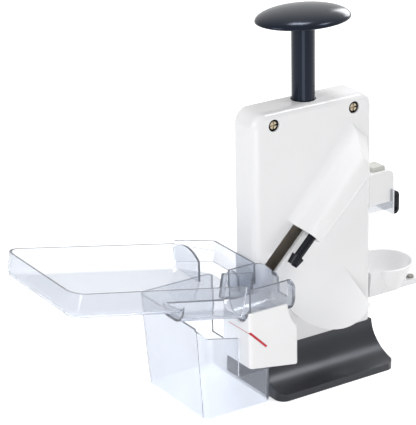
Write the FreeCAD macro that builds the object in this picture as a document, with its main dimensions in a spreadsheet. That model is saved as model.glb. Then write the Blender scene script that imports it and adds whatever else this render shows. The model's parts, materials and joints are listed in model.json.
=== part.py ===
"""Cherry and plum pitter on a suction foot, as separate pieces in one assembly.

X runs along the front face, Y to the back and Z up. The origin is on the table,
under the axis of the plunger shaft. All sizes are millimetres.
"""
import FreeCAD, Part
import math
import os
import re

import Sketcher

from FreeCAD import Placement, Rotation, Vector

SIZES = {
    # Housing
    "house_half": 54.2, "face_depth": 14.4, "seam_back": 3.0, "house_back": 12.8,
    "house_bottom": 33.5, "house_top": 221.0, "house_wall": 2.4,
    "top_round": 12.0, "edge_round": 6.0, "rear_round": 3.0, "rear_skin": 0.9,
    # Plunger
    "plunge": 43.0, "shaft_radius": 8.9, "spigot_radius": 5.9, "shaft_top": 283.0,
    "bush_gap": 0.08, "bush_outer": 9.6, "bush_length": 13.0, "bush_proud": 0.3,
    "bush_flange": 3.0, "bush_flange_wide": 3.4, "bush_flange_half": 8.0,
    "cap_half_long": 38.0, "cap_half_wide": 30.0, "cap_seat": 0.5,
    "cap_dome": 9.0, "cap_belly": 3.4, "cap_neck": 12.5, "cap_neck_length": 5.0,
    "cap_socket": 14.0, "cap_neck_flare": 5.0,
    "cap_screw_radius": 2.0, "cap_screw_length": 16.0, "cap_screw_head_high": 4.0,
    # Crosshead inside the housing
    "cross_low": 134.0, "cross_high": 152.0, "cross_half": 44.0,
    "cross_front": 5.0, "cross_rear": 2.5, "collar_half": 12.0, "collar_front": 8.5,
    "collar_high": 168.0, "cross_pin_radius": 1.6, "cross_pin_z": 160.0,
    "arm_low": 136.0, "arm_high": 148.0, "collar_round": 3.0, "cross_cup": 4.0, "cross_cup_radius": 8.5,
    # Ejector, measured along its 45 degree axis
    "axis_rise": 137.0, "axis_depth": 30.0, "rod_radius": 3.25, "groove_radius": 0.75,
    "rod_low": 59.5, "tip_low": 51.7, "head_radius": 5.2, "head_groove": 1.3,
    "tip_radius": 4.1, "tip_notch": 3.0, "carriage_at": 105.0, "carriage_half": 2.8,
    "carriage_radius": 3.9, "carriage_neck": 3.0, "carriage_back": 15.2,
    "pin_radius": 2.5, "pin_end": 1.0, "pin_gap": 0.3,
    # Hood and slot in the front shell, across the same axis
    "hood_depth": 22.0, "hood_wall": 1.8, "hood_mouth": 77.6,
    "hood_left": 7.8, "hood_left_top": 4.2, "hood_left_wide": 14.5, "hood_left_top_wide": 9.0,
    "hood_right_top": 8.0, "hood_right_wide": 10.5,
    "hood_right": 13.0, "hood_shoulder": 10.0, "hood_blend": 8.0, "hood_soft": 5.5,
    "hood_side": 34.5, "hood_fall_from": 146.0, "hood_fall_to": 165.0,
    "hood_cavity_left": 6.0, "hood_cavity_knee": 9.5, "hood_cavity_top_left": 2.2,
    "hood_cavity_top_right": 5.0, "hood_cavity_right": 9.0, "hood_reach": 192.0,
    "slot_low": 40.4, "slot_high": 118.0, "slot_half": 6.2, "slot_offset": 2.26,
    # Outlet ramp under the hood mouth
    "ramp_x": 10.5, "ramp_z": 83.0, "ramp_radius": 40.0, "ramp_depth": 21.0,
    "ramp_top_x": 29.4, "ramp_top_z": 80.5, "ramp_end_x": 40.0, "ramp_end_z": 55.0,
    "ramp_pitch": 56.0, "ramp_roll": 21.0, "ramp_blend": 30.0,
    # Screws of the shells
    "screw_inset": 18.0, "screw_z": 210.6, "screw_head": 4.4, "screw_head_long": 3.0,
    "screw_sink": 4.0, "screw_bite": 7.0, "screw_end": 0.5, "screw_shank": 1.5, "screw_gap": 0.3, "boss_wall": 1.7,
    # Cherry seat
    "seat_radius": 13.0, "seat_wall": 2.0, "seat_mid_z": 87.0, "seat_left": 79.0, "seat_right": 39.5,
    "seat_arc_x": 57.0, "seat_arc_z": 88.5, "seat_arc_radius": 18.5,
    "seat_front_high": 101.0, "seat_rear_high": 107.5, "seat_notch": 6.3,
    # Stone chute under the seat
    "chute_left": 80.8, "chute_right": 37.6, "chute_front": 46.0, "chute_wall": 2.0,
    "chute_low_left": 39.0, "chute_low_right": 31.9, "chute_back": 10.0, "chute_high": 83.0, "chute_tongue_high": 78.5,
    "chute_round": 2.5, "chute_partition": 54.0, "chute_room_high": 70.0, "chute_right_room_high": 58.0,
    "chute_bite_x": 17.3, "chute_bite_z": 83.7, "chute_bite_radius": 30.0,
    "stone_radius": 6.6, "lip_sum": -11.5, "lip_thick": 1.6,
    "lip_up": 7.8, "lip_down": 12.2, "lip_back": 17.5, "lip_gap": 0.1, "lip_hole": 5.8,
    # Cherry tray
    "tray_tilt": 11.67, "tray_rim_x": 88.5, "tray_rim_z": 105.9, "tray_left": 224.0,
    "tray_front": 44.0, "tray_back": 60.0, "tray_wall": 1.8, "tray_deep": 20.0,
    "tray_channel_x": 133.0, "tray_exit": 81.0, "tray_channel_deep": 26.5,
    "tray_channel_back": 16.0, "side_gap": 0.4, "tray_end_high": 107.0, "tray_cut_x": 80.0, "tray_cut_y": 40.0,
    "tray_corner": 12.0, "tray_floor_round": 8.0,
    "tray_inner_corner": 10.2, "tray_inner_round": 6.2, "tray_channel_round": 8.0,
    "tray_channel_inner_round": 6.2, "tray_end_low": 90.0,
    "tray_rib_left": 82.0, "tray_rib_left_from": 21.6, "tray_rib_left_to": 57.0, "tray_rib_left_high": 108.6,
    "tray_rib_right": 70.0, "tray_rib_right_from": -14.0, "tray_rib_right_to": 2.0, "tray_rib_right_high": 101.0,
    "tray_rib_arch": 7.0, "tray_rib_left_low": 85.0, "tray_rib_right_low": 82.5,
    # Stone container
    "bin_left": 113.3, "bin_front": 34.8, "bin_back": 48.5,
    "bin_high": 75.0, "bin_wall": 1.8, "bin_draft_side": 5.5, "bin_draft": 1.6,
    "bin_corner": 5.0, "bin_inner_corner": 3.2, "bin_dip_mid": 67.4, "bin_dip": 61.0, "bin_dip_x": 84.0, "bin_low": 29.5,
    # Foot
    "foot_left_inset": 3.7, "foot_right_out": 3.8, "foot_front": 41.0, "foot_back": 38.0,
    "flare_radius": 30.1, "flare_lift": 2.0, "foot_corner": 8.0, "foot_side_radius": 110.0, "foot_ledge": 30.0, "foot_pad_high": 6.0,
    "foot_works_front": 10.0, "foot_works_back": 22.0, "foot_slot_up": 10.0,
    "foot_dome_radius": 33.0, "foot_dome_y": 6.0, "foot_dome_z": -8.0,
    "foot_top_plate": 4.0, "foot_screw_inset": 14.2, "foot_screw_y": 6.9,
    "foot_boss": 3.6, "foot_boss_long": 14.0, "foot_bite": 11.0, "foot_head": 3.0, "foot_head_high": 2.5, "foot_shank": 1.4,
    # Suction parts
    "pad_x": 3.5, "pad_radius": 34.0, "pad_thick": 2.5, "pad_boss": 7.1, "pad_high": 12.0,
    "stem_radius": 3.5, "stem_disc": 5.0, "stem_disc_low": 6.2, "stem_disc_high": 9.2,
    "stem_high": 25.0, "stem_lift": 3.0, "stem_half": 4.0, "axle_y": 14.0, "axle_z": 15.0,
    "axle_radius": 2.0, "axle_gap": 0.06, "axle_bite": 5.0, "axle_half": 16.0, "hub_radius": 3.2, "cam_radius": 4.8,
    "cam_back": 1.95, "cam_up": 1.5, "cam_half": 4.5,
    "lever_half": 10.0, "lever_end": 60.0, "lever_thick": 5.0, "lever_fork": 26.0, "lever_round": 4.0,
    # Return spring
    "spring_radius": 6.0, "spring_wire": 0.7, "spring_turns": 9.0, "guide_radius": 4.0, "guide_top": 85.0,
    "guide_flange": 9.0, "guide_flange_high": 2.0,
    # Plum side
    "arm_reach": 6.6, "block_gap": 1.2, "block_long": 23.6, "block_half": 9.0,
    "block_low": 125.0, "block_high": 151.0, "block_round": 6.0,
    "knife_inset": 2.4, "knife_low": 115.0, "knife_thick": 1.0, "knife_left": 16.0,
    "knife_right": 9.5, "knife_half": 12.0, "knife_seat": 10.0, "knife_gap": 0.05,
    "clip_reach": 9.6, "clip_thick": 2.2, "clip_low": 111.0, "clip_high": 130.0,
    "clip_half": 3.5, "clip_curl": 3.8, "clip_bridge_low": 126.5,
    "tab_inset": 5.1, "tab_long": 12.0, "tab_high": 154.6, "tab_half": 6.0, "tab_sink": 3.0,
    "tab_round": 1.5,
    "cup_shift": 2.5, "cup_y": 3.0, "cup_rim": 24.0, "cup_rim_z": 71.0, "cup_foot": 14.5,
    "cup_foot_z": 50.0, "cup_wall": 2.2, "cup_hole": 8.0, "cup_front": 11.5,
    "cup_rear": 11.5, "cup_front_high": 14.0, "lug_reach": 26.5, "lug_front": 5.0, "lug_half": 5.0,
    "lug_high": 54.5, "cup_screw_inset": 6.3, "cup_screw_head": 3.0, "cup_screw_shank": 1.4,
    "cup_screw_long": 4.4, "cup_screw_head_high": 1.8,
    # Screws between the chute and the front shell
    "chute_screw_inset": 10.0, "chute_screw_low": 44.0, "chute_screw_high": 60.0,
    "chute_boss": 4.0, "chute_boss_long": 12.0, "chute_bite": 9.0, "chute_screw_head": 3.0, "chute_screw_head_long": 2.0,
    # Cross recess of a screw, as parts of its head
    "cross_long": 0.7, "cross_narrow": 0.14,
    # Running gaps
    "gap": 0.3, "slide_gap": 0.5,
}

doc = FreeCAD.newDocument("pitter")
sheet = doc.addObject("Spreadsheet::Sheet", "Sizes")
for row, (alias, value) in enumerate(SIZES.items(), start=1):
    sheet.set(f"A{row}", alias)
    sheet.set(f"B{row}", str(value))
    sheet.setAlias(f"B{row}", alias)
doc.recompute()

SUBPARTS = []
FUNCTIONS = {"sqrt", "sin", "cos", "deg"}

# Places that follow other sizes: each is the sum of its terms.
FOLLOWS = {
    "foot_left": ("house_half", "-foot_left_inset"),
    "foot_right": ("house_half", "foot_right_out"),
    "foot_screw_x": ("house_half", "-foot_screw_inset"),
    "screw_x": ("house_half", "-screw_inset"),
    "chute_screw_x": ("house_half", "-chute_screw_inset"),
    "bin_right": ("house_half", "side_gap"),
    "tray_end": ("house_half", "side_gap"),
    "block_left": ("house_half", "block_gap"),
    "block_right": ("block_left", "block_long"),
    "arm_end": ("block_left", "arm_reach"),
    "tab_left": ("block_left", "tab_inset"),
    "tab_right": ("tab_left", "tab_long"),
    "knife_x": ("block_right", "-knife_inset"),
    "clip_right": ("block_right", "clip_reach"),
    "cup_x": ("knife_x", "cup_shift"),
    "lug_end": ("cup_x", "lug_reach"),
    "cup_screw_x": ("lug_end", "-cup_screw_inset"),
    "cap_rim": ("shaft_top", "-cap_seat"),
    "inner_round": ("top_round", "-house_wall"),
    "inner_edge": ("edge_round", "-house_wall"),
    "inner_rear": ("rear_round", "-rear_skin"),
    "boss_radius": ("screw_head", "boss_wall"),
}


def size(alias):
    """Read one size from the sheet, or add up the terms it follows."""
    if alias.startswith("-"):
        return -size(alias[1:])
    if alias in FOLLOWS:
        return sum(size(term) for term in FOLLOWS[alias])
    return float(sheet.get(alias))


def tie(text):
    """Write an expression on plain size names as one on the sheet's cells."""

    def swap(match):
        word = match.group(0)
        if word in FUNCTIONS:
            return word
        if word in FOLLOWS:
            first, second = FOLLOWS[word]
            return f"({tie(first)} {'' if second.startswith('-') else '+ '}{tie(second)})"
        return f"Sizes.{word}"

    return re.sub(r"[A-Za-z_]\w*", swap, str(text))


def bind(target, expressions):
    """Bind properties of an object to expressions on the sheet."""
    for name, text in expressions.items():
        target.setExpression(name, tie(text))


def seat_at(target, x, y, z):
    """Bind the position of an object."""
    bind(target, {"Placement.Base.x": x, "Placement.Base.y": y, "Placement.Base.z": z})


def finish(target, node):
    """Name the last object of a sub-part and list it for writing."""
    target.Label = node
    SUBPARTS.append(target)
    return target


TURNS = {
    "z": Rotation(),
    "-z": Rotation(Vector(1, 0, 0), 180),
    "y": Rotation(Vector(1, 0, 0), -90),
    "-y": Rotation(Vector(1, 0, 0), 90),
    "x": Rotation(Vector(0, 1, 0), 90),
    "-x": Rotation(Vector(0, 1, 0), -90),
    "rise": Rotation(Vector(0, 1, 0), 45),
    "fall": Rotation(Vector(0, 1, 0), 225),
}


def box(name, x, y, z):
    """A box between two expressions along each axis."""
    piece = doc.addObject("Part::Box", name)
    bind(piece, {
        "Length": f"({x[1]}) - ({x[0]})",
        "Width": f"({y[1]}) - ({y[0]})",
        "Height": f"({z[1]}) - ({z[0]})",
    })
    seat_at(piece, x[0], y[0], z[0])
    return piece


def cylinder(name, at, turn, radius, length):
    """A cylinder from a point, pointing one way."""
    piece = doc.addObject("Part::Cylinder", name)
    piece.Placement = Placement(Vector(), TURNS[turn])
    bind(piece, {"Radius": radius, "Height": length})
    seat_at(piece, *at)
    return piece


def cone(name, at, turn, radius_from, radius_to, length):
    """A truncated cone from a point, pointing one way."""
    piece = doc.addObject("Part::Cone", name)
    piece.Placement = Placement(Vector(), TURNS[turn])
    bind(piece, {"Radius1": radius_from, "Radius2": radius_to, "Height": length})
    seat_at(piece, *at)
    return piece


def on_axis(along, across="0", y="-axis_depth"):
    """A point given along and across the slanted axis of the ejector."""
    return (
        f"(({along}) * sqrt(2) - axis_rise) / 2 + ({across}) / sqrt(2)",
        f"{y}",
        f"(({along}) * sqrt(2) + axis_rise) / 2 - ({across}) / sqrt(2)",
    )


def axis_box(name, across, y, along):
    """A box turned to the slanted axis: across it, along Y and along it."""
    piece = doc.addObject("Part::Box", name)
    piece.Placement = Placement(Vector(), TURNS["rise"])
    bind(piece, {
        "Length": f"({across[1]}) - ({across[0]})",
        "Width": f"({y[1]}) - ({y[0]})",
        "Height": f"({along[1]}) - ({along[0]})",
    })
    seat_at(piece, *on_axis(along[0], across[0], y[0]))
    return piece


def outline(name, points, host=None):
    """A closed sketch through points whose coordinates are expressions."""
    maker = host.newObject if host else doc.addObject
    sketch = maker("Sketcher::SketchObject", name)
    count = len(points)
    corners = [
        Vector(math.cos(2 * math.pi * k / count), math.sin(2 * math.pi * k / count), 0)
        for k in range(count)
    ]
    for k in range(count):
        sketch.addGeometry(Part.LineSegment(corners[k], corners[(k + 1) % count]))
    for k in range(count):
        sketch.addConstraint(Sketcher.Constraint("Coincident", k, 2, (k + 1) % count, 1))
    for k, (across, up) in enumerate(points):
        for kind, text, start in (("DistanceX", across, corners[k].x), ("DistanceY", up, corners[k].y)):
            number = sketch.addConstraint(Sketcher.Constraint(kind, -1, 1, k, 1, start))
            sketch.setExpression(f"Constraints[{number}]", tie(text))
    return sketch


def prism(name, points, turn, at, length):
    """Extrude an outline: its X, Y and normal are turned, then moved to a point."""
    sketch = outline(f"{name}_outline", points)
    sketch.Placement = Placement(Vector(), turn)
    seat_at(sketch, *at)
    piece = doc.addObject("Part::Extrusion", name)
    piece.Base = sketch
    piece.DirMode = "Normal"
    piece.Solid = True
    bind(piece, {"LengthFwd": length})
    return piece


FRONT_VIEW = Rotation(Vector(1, 0, 0), 90)
SIDE_VIEW = Rotation(Vector(1, 1, 1), 120)
FLUTES = 6


def join(name, *pieces):
    """Fuse pieces into one solid."""
    piece = doc.addObject("Part::MultiFuse", name)
    piece.Shapes = list(pieces)
    piece.Refine = True
    return piece


def cut(name, base, *tools):
    """Cut tools out of a base."""
    piece = doc.addObject("Part::Cut", name)
    piece.Base = base
    piece.Tool = tools[0] if len(tools) == 1 else join(f"{name}_tools", *tools)
    piece.Refine = True
    return piece


def common(name, *pieces):
    """Keep what all pieces share."""
    piece = doc.addObject("Part::MultiCommon", name)
    piece.Shapes = list(pieces)
    piece.Refine = True
    return piece


def rounded(name, base, alias, wanted):
    """Round the edges of a base for which wanted(edge) is true."""
    doc.recompute()
    radius = size(alias)
    picks = [k + 1 for k, edge in enumerate(base.Shape.Edges) if wanted(edge)]
    piece = doc.addObject("Part::Fillet", name)
    piece.Base = base
    piece.Edges = [(k, radius, radius) for k in picks]
    return piece


def middle(edge):
    """The point halfway along an edge."""
    return edge.valueAt((edge.FirstParameter + edge.LastParameter) / 2)


def heading(edge):
    """The unit direction of a straight edge, or a null vector."""
    chord = edge.Vertexes[-1].Point - edge.Vertexes[0].Point
    if not near(chord.Length, edge.Length):
        return Vector()
    return chord.normalize()


def near(first, second, slack=0.01):
    """Whether two numbers agree."""
    return abs(first - second) < slack


def loft(name, *sections):
    """Join outlines by straight walls."""
    piece = doc.addObject("Part::Loft", name)
    piece.Sections = list(sections)
    piece.Solid = True
    piece.Ruled = True
    return piece


def housing_block(name, inset, y, corner, face, front):
    """The housing's block between two depths, inset, with soft corners and a soft face."""
    block = box(
        f"{name}_block",
        (f"-house_half + {inset}", f"house_half - {inset}"), y, ("house_bottom", f"house_top - {inset}"),
    )
    soft = rounded(f"{name}_soft", block, corner, lambda edge: (
        abs(heading(edge).y) > 0.9 and middle(edge).z > size("house_top") / 2
    ))

    def on_face(edge):
        """Whether an edge bounds the front or the back, above the foot."""
        ends = [vertex.Y for vertex in edge.Vertexes]
        depth = min(ends) if front else max(ends)
        limit = min(v.Y for v in soft.Shape.Vertexes) if front else max(v.Y for v in soft.Shape.Vertexes)
        flat = near(ends[0], ends[-1]) and near(depth, limit)
        return flat and middle(edge).z > size("house_bottom") + 1

    return rounded(name, soft, face, on_face)


def bore(name, x, y_from, z, radius, length, turn="y"):
    """A round hole or rod along Y from a depth."""
    return cylinder(name, (x, y_from, z), turn, radius, length)


# The hollow curve at the hood's left foot: away from the wall and off the face, in parts of its radius.
HOOD_FOOT = ((0.82, 0.0), (0.49, 0.06), (0.18, 0.24), (-0.04, 0.5), (-0.16, 0.81))


def make_hood():
    """The slanted hood over the rod: a widening beam whose end falls back to the face."""
    def section(name, along, left, left_top, right_top):
        base = "-face_depth + house_wall / 2"
        top = "-face_depth - hood_depth"
        foot = [
            (f"-slot_offset - {left} - hood_blend * {away}", f"-face_depth - hood_blend * {rise}")
            for away, rise in HOOD_FOOT
        ]
        points = [
            (f"-slot_offset - {left} - hood_blend * {HOOD_FOOT[0][0]}", base),
            *foot,
            (f"-slot_offset - {left_top}", top),
            (f"-slot_offset + {right_top}", top),
            ("-slot_offset + hood_right", "-face_depth - hood_shoulder"),
            ("-slot_offset + hood_right", base),
        ]
        sketch = outline(name, points)
        sketch.Placement = Placement(Vector(), TURNS["rise"])
        seat_at(sketch, *on_axis(along, y="0"))
        return sketch

    beam = loft(
        "hood_loft",
        section("hood_mouth_outline", "hood_mouth", "hood_left", "hood_left_top", "hood_right_top"),
        section("hood_end_outline", "hood_reach", "hood_left_wide", "hood_left_top_wide", "hood_right_wide"),
    )
    limit = prism("hood_limit", [
        ("-house_half", "-face_depth - hood_depth"),
        ("hood_side", "-face_depth - hood_depth"),
        ("house_half - edge_round", "-face_depth"),
        ("house_half - edge_round", "0"),
        ("-house_half", "0"),
    ], Rotation(), ("0", "0", "house_bottom"), "house_top - house_bottom")
    fall = prism("hood_fall", [
        ("0", "-face_depth - hood_depth"),
        ("hood_fall_from", "-face_depth - hood_depth"),
        ("hood_fall_to", "-face_depth"),
        ("hood_fall_to", "0"),
        ("0", "0"),
    ], TURNS["rise"] * TURNS["-x"], on_axis("0", "house_half", y="0"), "house_half * 2")
    whole = common("hood_whole", beam, limit, fall)
    front = -size("face_depth") - size("hood_depth")
    mouth = size("hood_mouth") * math.sqrt(2)

    def on_crest(edge):
        """Whether an edge bounds the hood's front, away from its mouth."""
        ends = [vertex.Point for vertex in edge.Vertexes]
        inside = any(point.x + point.z > mouth + 1 for point in ends)
        return inside and all(near(point.y, front) for point in ends)

    return rounded("hood", whole, "hood_soft", on_crest)


def make_hood_cavity():
    """The hollow of the hood, open at its mouth and into the housing."""
    top = "-face_depth - hood_depth + hood_wall"
    points = [
        ("-slot_offset - hood_cavity_left", "-face_depth"),
        ("-slot_offset - hood_cavity_left", "-face_depth - hood_cavity_knee"),
        ("-slot_offset - hood_cavity_top_left", top),
        ("-slot_offset + hood_cavity_top_right", top),
        ("-slot_offset + hood_cavity_right", "-face_depth - hood_shoulder"),
        ("-slot_offset + hood_cavity_right", "-face_depth"),
    ]
    return prism(
        "hood_cavity", points, TURNS["rise"], on_axis("hood_mouth - 1", y="0"), "slot_high + 1 - hood_mouth",
    )


def make_ramp():
    """The rounded ramp below the hood that leads pitted cherries to the front."""
    disc = bore(
        "ramp_disc", "ramp_x", "-face_depth - ramp_depth * 1.5", "ramp_z", "ramp_radius",
        "ramp_depth * 1.5 + house_wall / 2",
    )
    tilt = Rotation(Vector(0, 1, 0), -size("ramp_roll")) * Rotation(Vector(1, 0, 0), size("ramp_pitch"))
    far = "ramp_radius * 3"
    slab = prism(
        "ramp_slab", [(f"-{far}", f"-{far}"), (far, f"-{far}"), (far, far), (f"-{far}", far)],
        tilt, ("ramp_top_x", "-face_depth", "ramp_top_z"), far,
    )
    front_room = box("ramp_front_room", (f"-{far} * 2", f"{far} * 2"), (f"-{far}", "-face_depth"), (f"-{far}", f"{far} * 2"))
    sharp = common("ramp_above_sharp", slab, front_room)
    doc.recompute()

    def on_face(edge):
        """Whether an edge lies on the face."""
        return all(near(vertex.Y, -size("face_depth")) for vertex in edge.Vertexes)

    lowest = min(middle(edge).z for edge in sharp.Shape.Edges if on_face(edge))
    above = rounded("ramp_above", sharp, "ramp_blend", lambda edge: on_face(edge) and near(middle(edge).z, lowest))
    lean = "(ramp_end_x - ramp_top_x) / (ramp_top_z - ramp_end_z)"
    right = prism("ramp_right", [
        (f"ramp_top_x - ({lean}) * ramp_radius", "ramp_top_z + ramp_radius"),
        (f"ramp_top_x + ({lean}) * ramp_radius * 3", "ramp_top_z - ramp_radius * 3"),
        (f"ramp_top_x + {far}", "ramp_top_z - ramp_radius * 3"),
        (f"ramp_top_x + {far}", "ramp_top_z + ramp_radius"),
    ], FRONT_VIEW, ("0", "0", "0"), "ramp_radius * 2")
    return cut("ramp", disc, above, right)


def make_front_shell():
    """The white front moulding: face, hood, ramp, slot and bosses."""
    outer = housing_block("front_outer", "0", ("-face_depth", "seam_back"), "top_round", "edge_round", True)
    inner = housing_block(
        "front_inner", "house_wall", ("-face_depth + house_wall", "seam_back"), "inner_round", "inner_edge", True,
    )
    shell = cut("front_hollow", outer, inner)
    solids = [shell, make_hood(), make_ramp()]
    tools = [make_hood_cavity()]
    for k, side in enumerate((-1, 1)):
        x = f"{side} * screw_x"
        solids.append(bore(
            f"front_boss_{k}", x, "-face_depth + house_wall / 2", "screw_z", "boss_radius",
            "face_depth + seam_back - house_wall / 2",
        ))
        tools.append(bore(
            f"front_screw_hole_{k}", x, "-face_depth - 1", "screw_z", "screw_shank + screw_gap",
            "face_depth + seam_back + 2",
        ))
        tools.append(bore(
            f"front_screw_sink_{k}", x, "-face_depth - 1", "screw_z", "screw_head + screw_gap", "screw_sink + 1",
        ))
    for k, height in enumerate(("chute_screw_low", "chute_screw_high")):
        tools.append(bore(
            f"chute_screw_hole_{k}", "-chute_screw_x", "-face_depth - 1", height, "screw_shank + screw_gap",
            "face_depth",
        ))
    tools.append(axis_box(
        "face_slot", ("-slot_offset - slot_half", "-slot_offset + slot_half"), ("-face_depth - 1", "0"),
        ("slot_low", "slot_high"),
    ))
    tools.append(cylinder(
        "front_shaft_hole", ("0", "0", "house_top - house_wall * 2"), "z", "bush_outer", "house_wall * 3",
    ))
    tools.append(box(
        "front_arm_slot", ("house_half - house_wall * 2", "house_half + 1"),
        ("-cross_front - slide_gap", "seam_back + 1"),
        ("arm_low - plunge - slide_gap", "arm_high + slide_gap"),
    ))
    whole = join("front_whole", *solids)

    finish(cut("front_shell", whole, *tools), "front_shell")


def make_rear_shell():
    """The white back moulding with its screw bosses and foot bosses."""
    outer = housing_block("rear_outer", "0", ("seam_back", "house_back"), "top_round", "rear_round", False)
    inner = housing_block(
        "rear_inner", "house_wall", ("seam_back", "house_back - house_wall"), "inner_round", "inner_rear", False,
    )
    solids = [cut("rear_hollow", outer, inner)]
    tools = []
    for k, side in enumerate((-1, 1)):
        solids.append(bore(
            f"rear_boss_{k}", f"{side} * screw_x", "seam_back", "screw_z", "boss_radius",
            "house_back - seam_back - house_wall / 2",
        ))
        tools.append(bore(
            f"rear_screw_hole_{k}", f"{side} * screw_x", "seam_back - 1", "screw_z", "screw_shank",
            "screw_bite + 1",
        ))
        solids.append(cylinder(
            f"foot_boss_{k}", (f"{side} * foot_screw_x", "foot_screw_y", "house_bottom"), "z", "foot_boss",
            "foot_boss_long",
        ))
        tools.append(cylinder(
            f"foot_boss_hole_{k}", (f"{side} * foot_screw_x", "foot_screw_y", "house_bottom - 1"), "z",
            "foot_shank", "foot_bite + 1",
        ))
    tools.append(cylinder(
        "rear_shaft_hole", ("0", "0", "house_top - house_wall * 2"), "z", "bush_outer", "house_wall * 3",
    ))
    finish(cut("rear_shell", join("rear_whole", *solids), *tools), "rear_shell")


def screw(name, at, turn, head, head_long, shank, shank_long):
    """A screw whose head starts at a point, with a cross recess in it."""
    body = join(
        f"{name}_body",
        cylinder(f"{name}_head", at, turn, head, head_long),
        cylinder(f"{name}_shank", at, turn, shank, f"{head_long} + {shank_long}"),
    )
    slots = []
    long, narrow = f"{head} * cross_long", f"{head} * cross_narrow"
    for k, (wide, tall) in enumerate(((long, narrow), (narrow, long))):
        if turn == "y":
            slots.append(box(
                f"{name}_slot_{k}", (f"{at[0]} - {wide}", f"{at[0]} + {wide}"),
                (f"{at[1]} - 1", f"{at[1]} + {head_long} * 0.5"), (f"{at[2]} - {tall}", f"{at[2]} + {tall}"),
            ))
        else:
            slots.append(box(
                f"{name}_slot_{k}", (f"{at[0]} - {wide}", f"{at[0]} + {wide}"),
                (f"{at[1]} - {tall}", f"{at[1]} + {tall}"), (f"{at[2]} - 1", f"{at[2]} + {head_long} * 0.5"),
            ))
    return cut(name, body, *slots)


def group(node, *pieces):
    """Several separate solids kept as one sub-part."""
    piece = doc.addObject("Part::Compound", node)
    piece.Links = list(pieces)
    finish(piece, node)


def make_shell_screws():
    """Two screws recessed in the face that hold the shells together."""
    group("shell_screws", *[
        screw(
            f"shell_screw_{k}", (f"{side} * screw_x", "-face_depth + screw_sink - screw_head_long", "screw_z"), "y",
            "screw_head", "screw_head_long", "screw_shank",
            "face_depth + seam_back - screw_sink + screw_bite - screw_end",
        ) for k, side in enumerate((-1, 1))
    ])


def make_shaft_bush():
    """The dark bush that guides the shaft and rims its hole."""
    flange = box(
        "bush_flange_block", ("-bush_outer - bush_flange_wide", "bush_outer + bush_flange_wide"),
        ("-bush_flange_half", "bush_flange_half"),
        ("house_top - house_wall - bush_flange", "house_top - house_wall"),
    )
    tube = cylinder(
        "bush_tube", ("0", "0", "house_top + bush_proud - bush_length"), "z", "bush_outer", "bush_length",
    )
    hole = cylinder(
        "bush_hole", ("0", "0", "house_top - bush_length * 2"), "z", "shaft_radius + bush_gap", "bush_length * 3",
    )
    finish(cut("shaft_bush", join("bush_body", flange, tube), hole), "shaft_bush")


def make_plunger_shaft():
    """The thick shaft with its lower spigot, cross hole and screw hole."""
    body = join(
        "shaft_body",
        cylinder("shaft_main", ("0", "0", "collar_high"), "z", "shaft_radius", "shaft_top - collar_high"),
        cylinder("shaft_spigot", ("0", "0", "cross_high"), "z", "spigot_radius", "collar_high - cross_high"),
    )
    cross = cylinder(
        "shaft_cross_hole", ("-collar_half", "0", "cross_pin_z"), "x", "cross_pin_radius", "collar_half * 2",
    )
    top = cylinder(
        "shaft_screw_hole", ("0", "0", "shaft_top - cap_screw_length"), "z", "cap_screw_radius", "cap_screw_length + 1",
    )
    finish(cut("plunger_shaft", body, cross, top), "plunger_shaft")


def make_handle_cap():
    """The oval domed push cap with a socket for the shaft."""
    dome = doc.addObject("Part::Ellipsoid", "cap_dome_form")
    belly = doc.addObject("Part::Ellipsoid", "cap_belly_form")
    for piece, height, low, high in ((dome, "cap_dome", 0, 90), (belly, "cap_belly", -90, 0)):
        bind(piece, {"Radius1": height, "Radius2": "cap_half_long", "Radius3": "cap_half_wide"})
        piece.Angle1 = low
        piece.Angle2 = high
        seat_at(piece, "0", "0", "cap_rim")
    neck = cone(
        "cap_neck_form", ("0", "0", "cap_rim - cap_neck_length"), "z", "cap_neck", "cap_neck + cap_neck_flare",
        "cap_neck_length",
    )
    socket = cylinder(
        "cap_socket_hole", ("0", "0", "shaft_top - cap_socket"), "z", "shaft_radius", "cap_socket",
    )
    screw_hole = cylinder(
        "cap_screw_hole", ("0", "0", "shaft_top"), "z", "cap_screw_radius", "cap_screw_head_high",
    )
    finish(cut("handle_cap", join("cap_body", dome, belly, neck), socket, screw_hole), "handle_cap")


def make_cap_screw():
    """The stud between cap and shaft."""
    finish(cylinder(
        "cap_screw", ("0", "0", "shaft_top - cap_screw_length"), "z", "cap_screw_radius",
        "cap_screw_length + cap_screw_head_high",
    ), "cap_screw")


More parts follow.
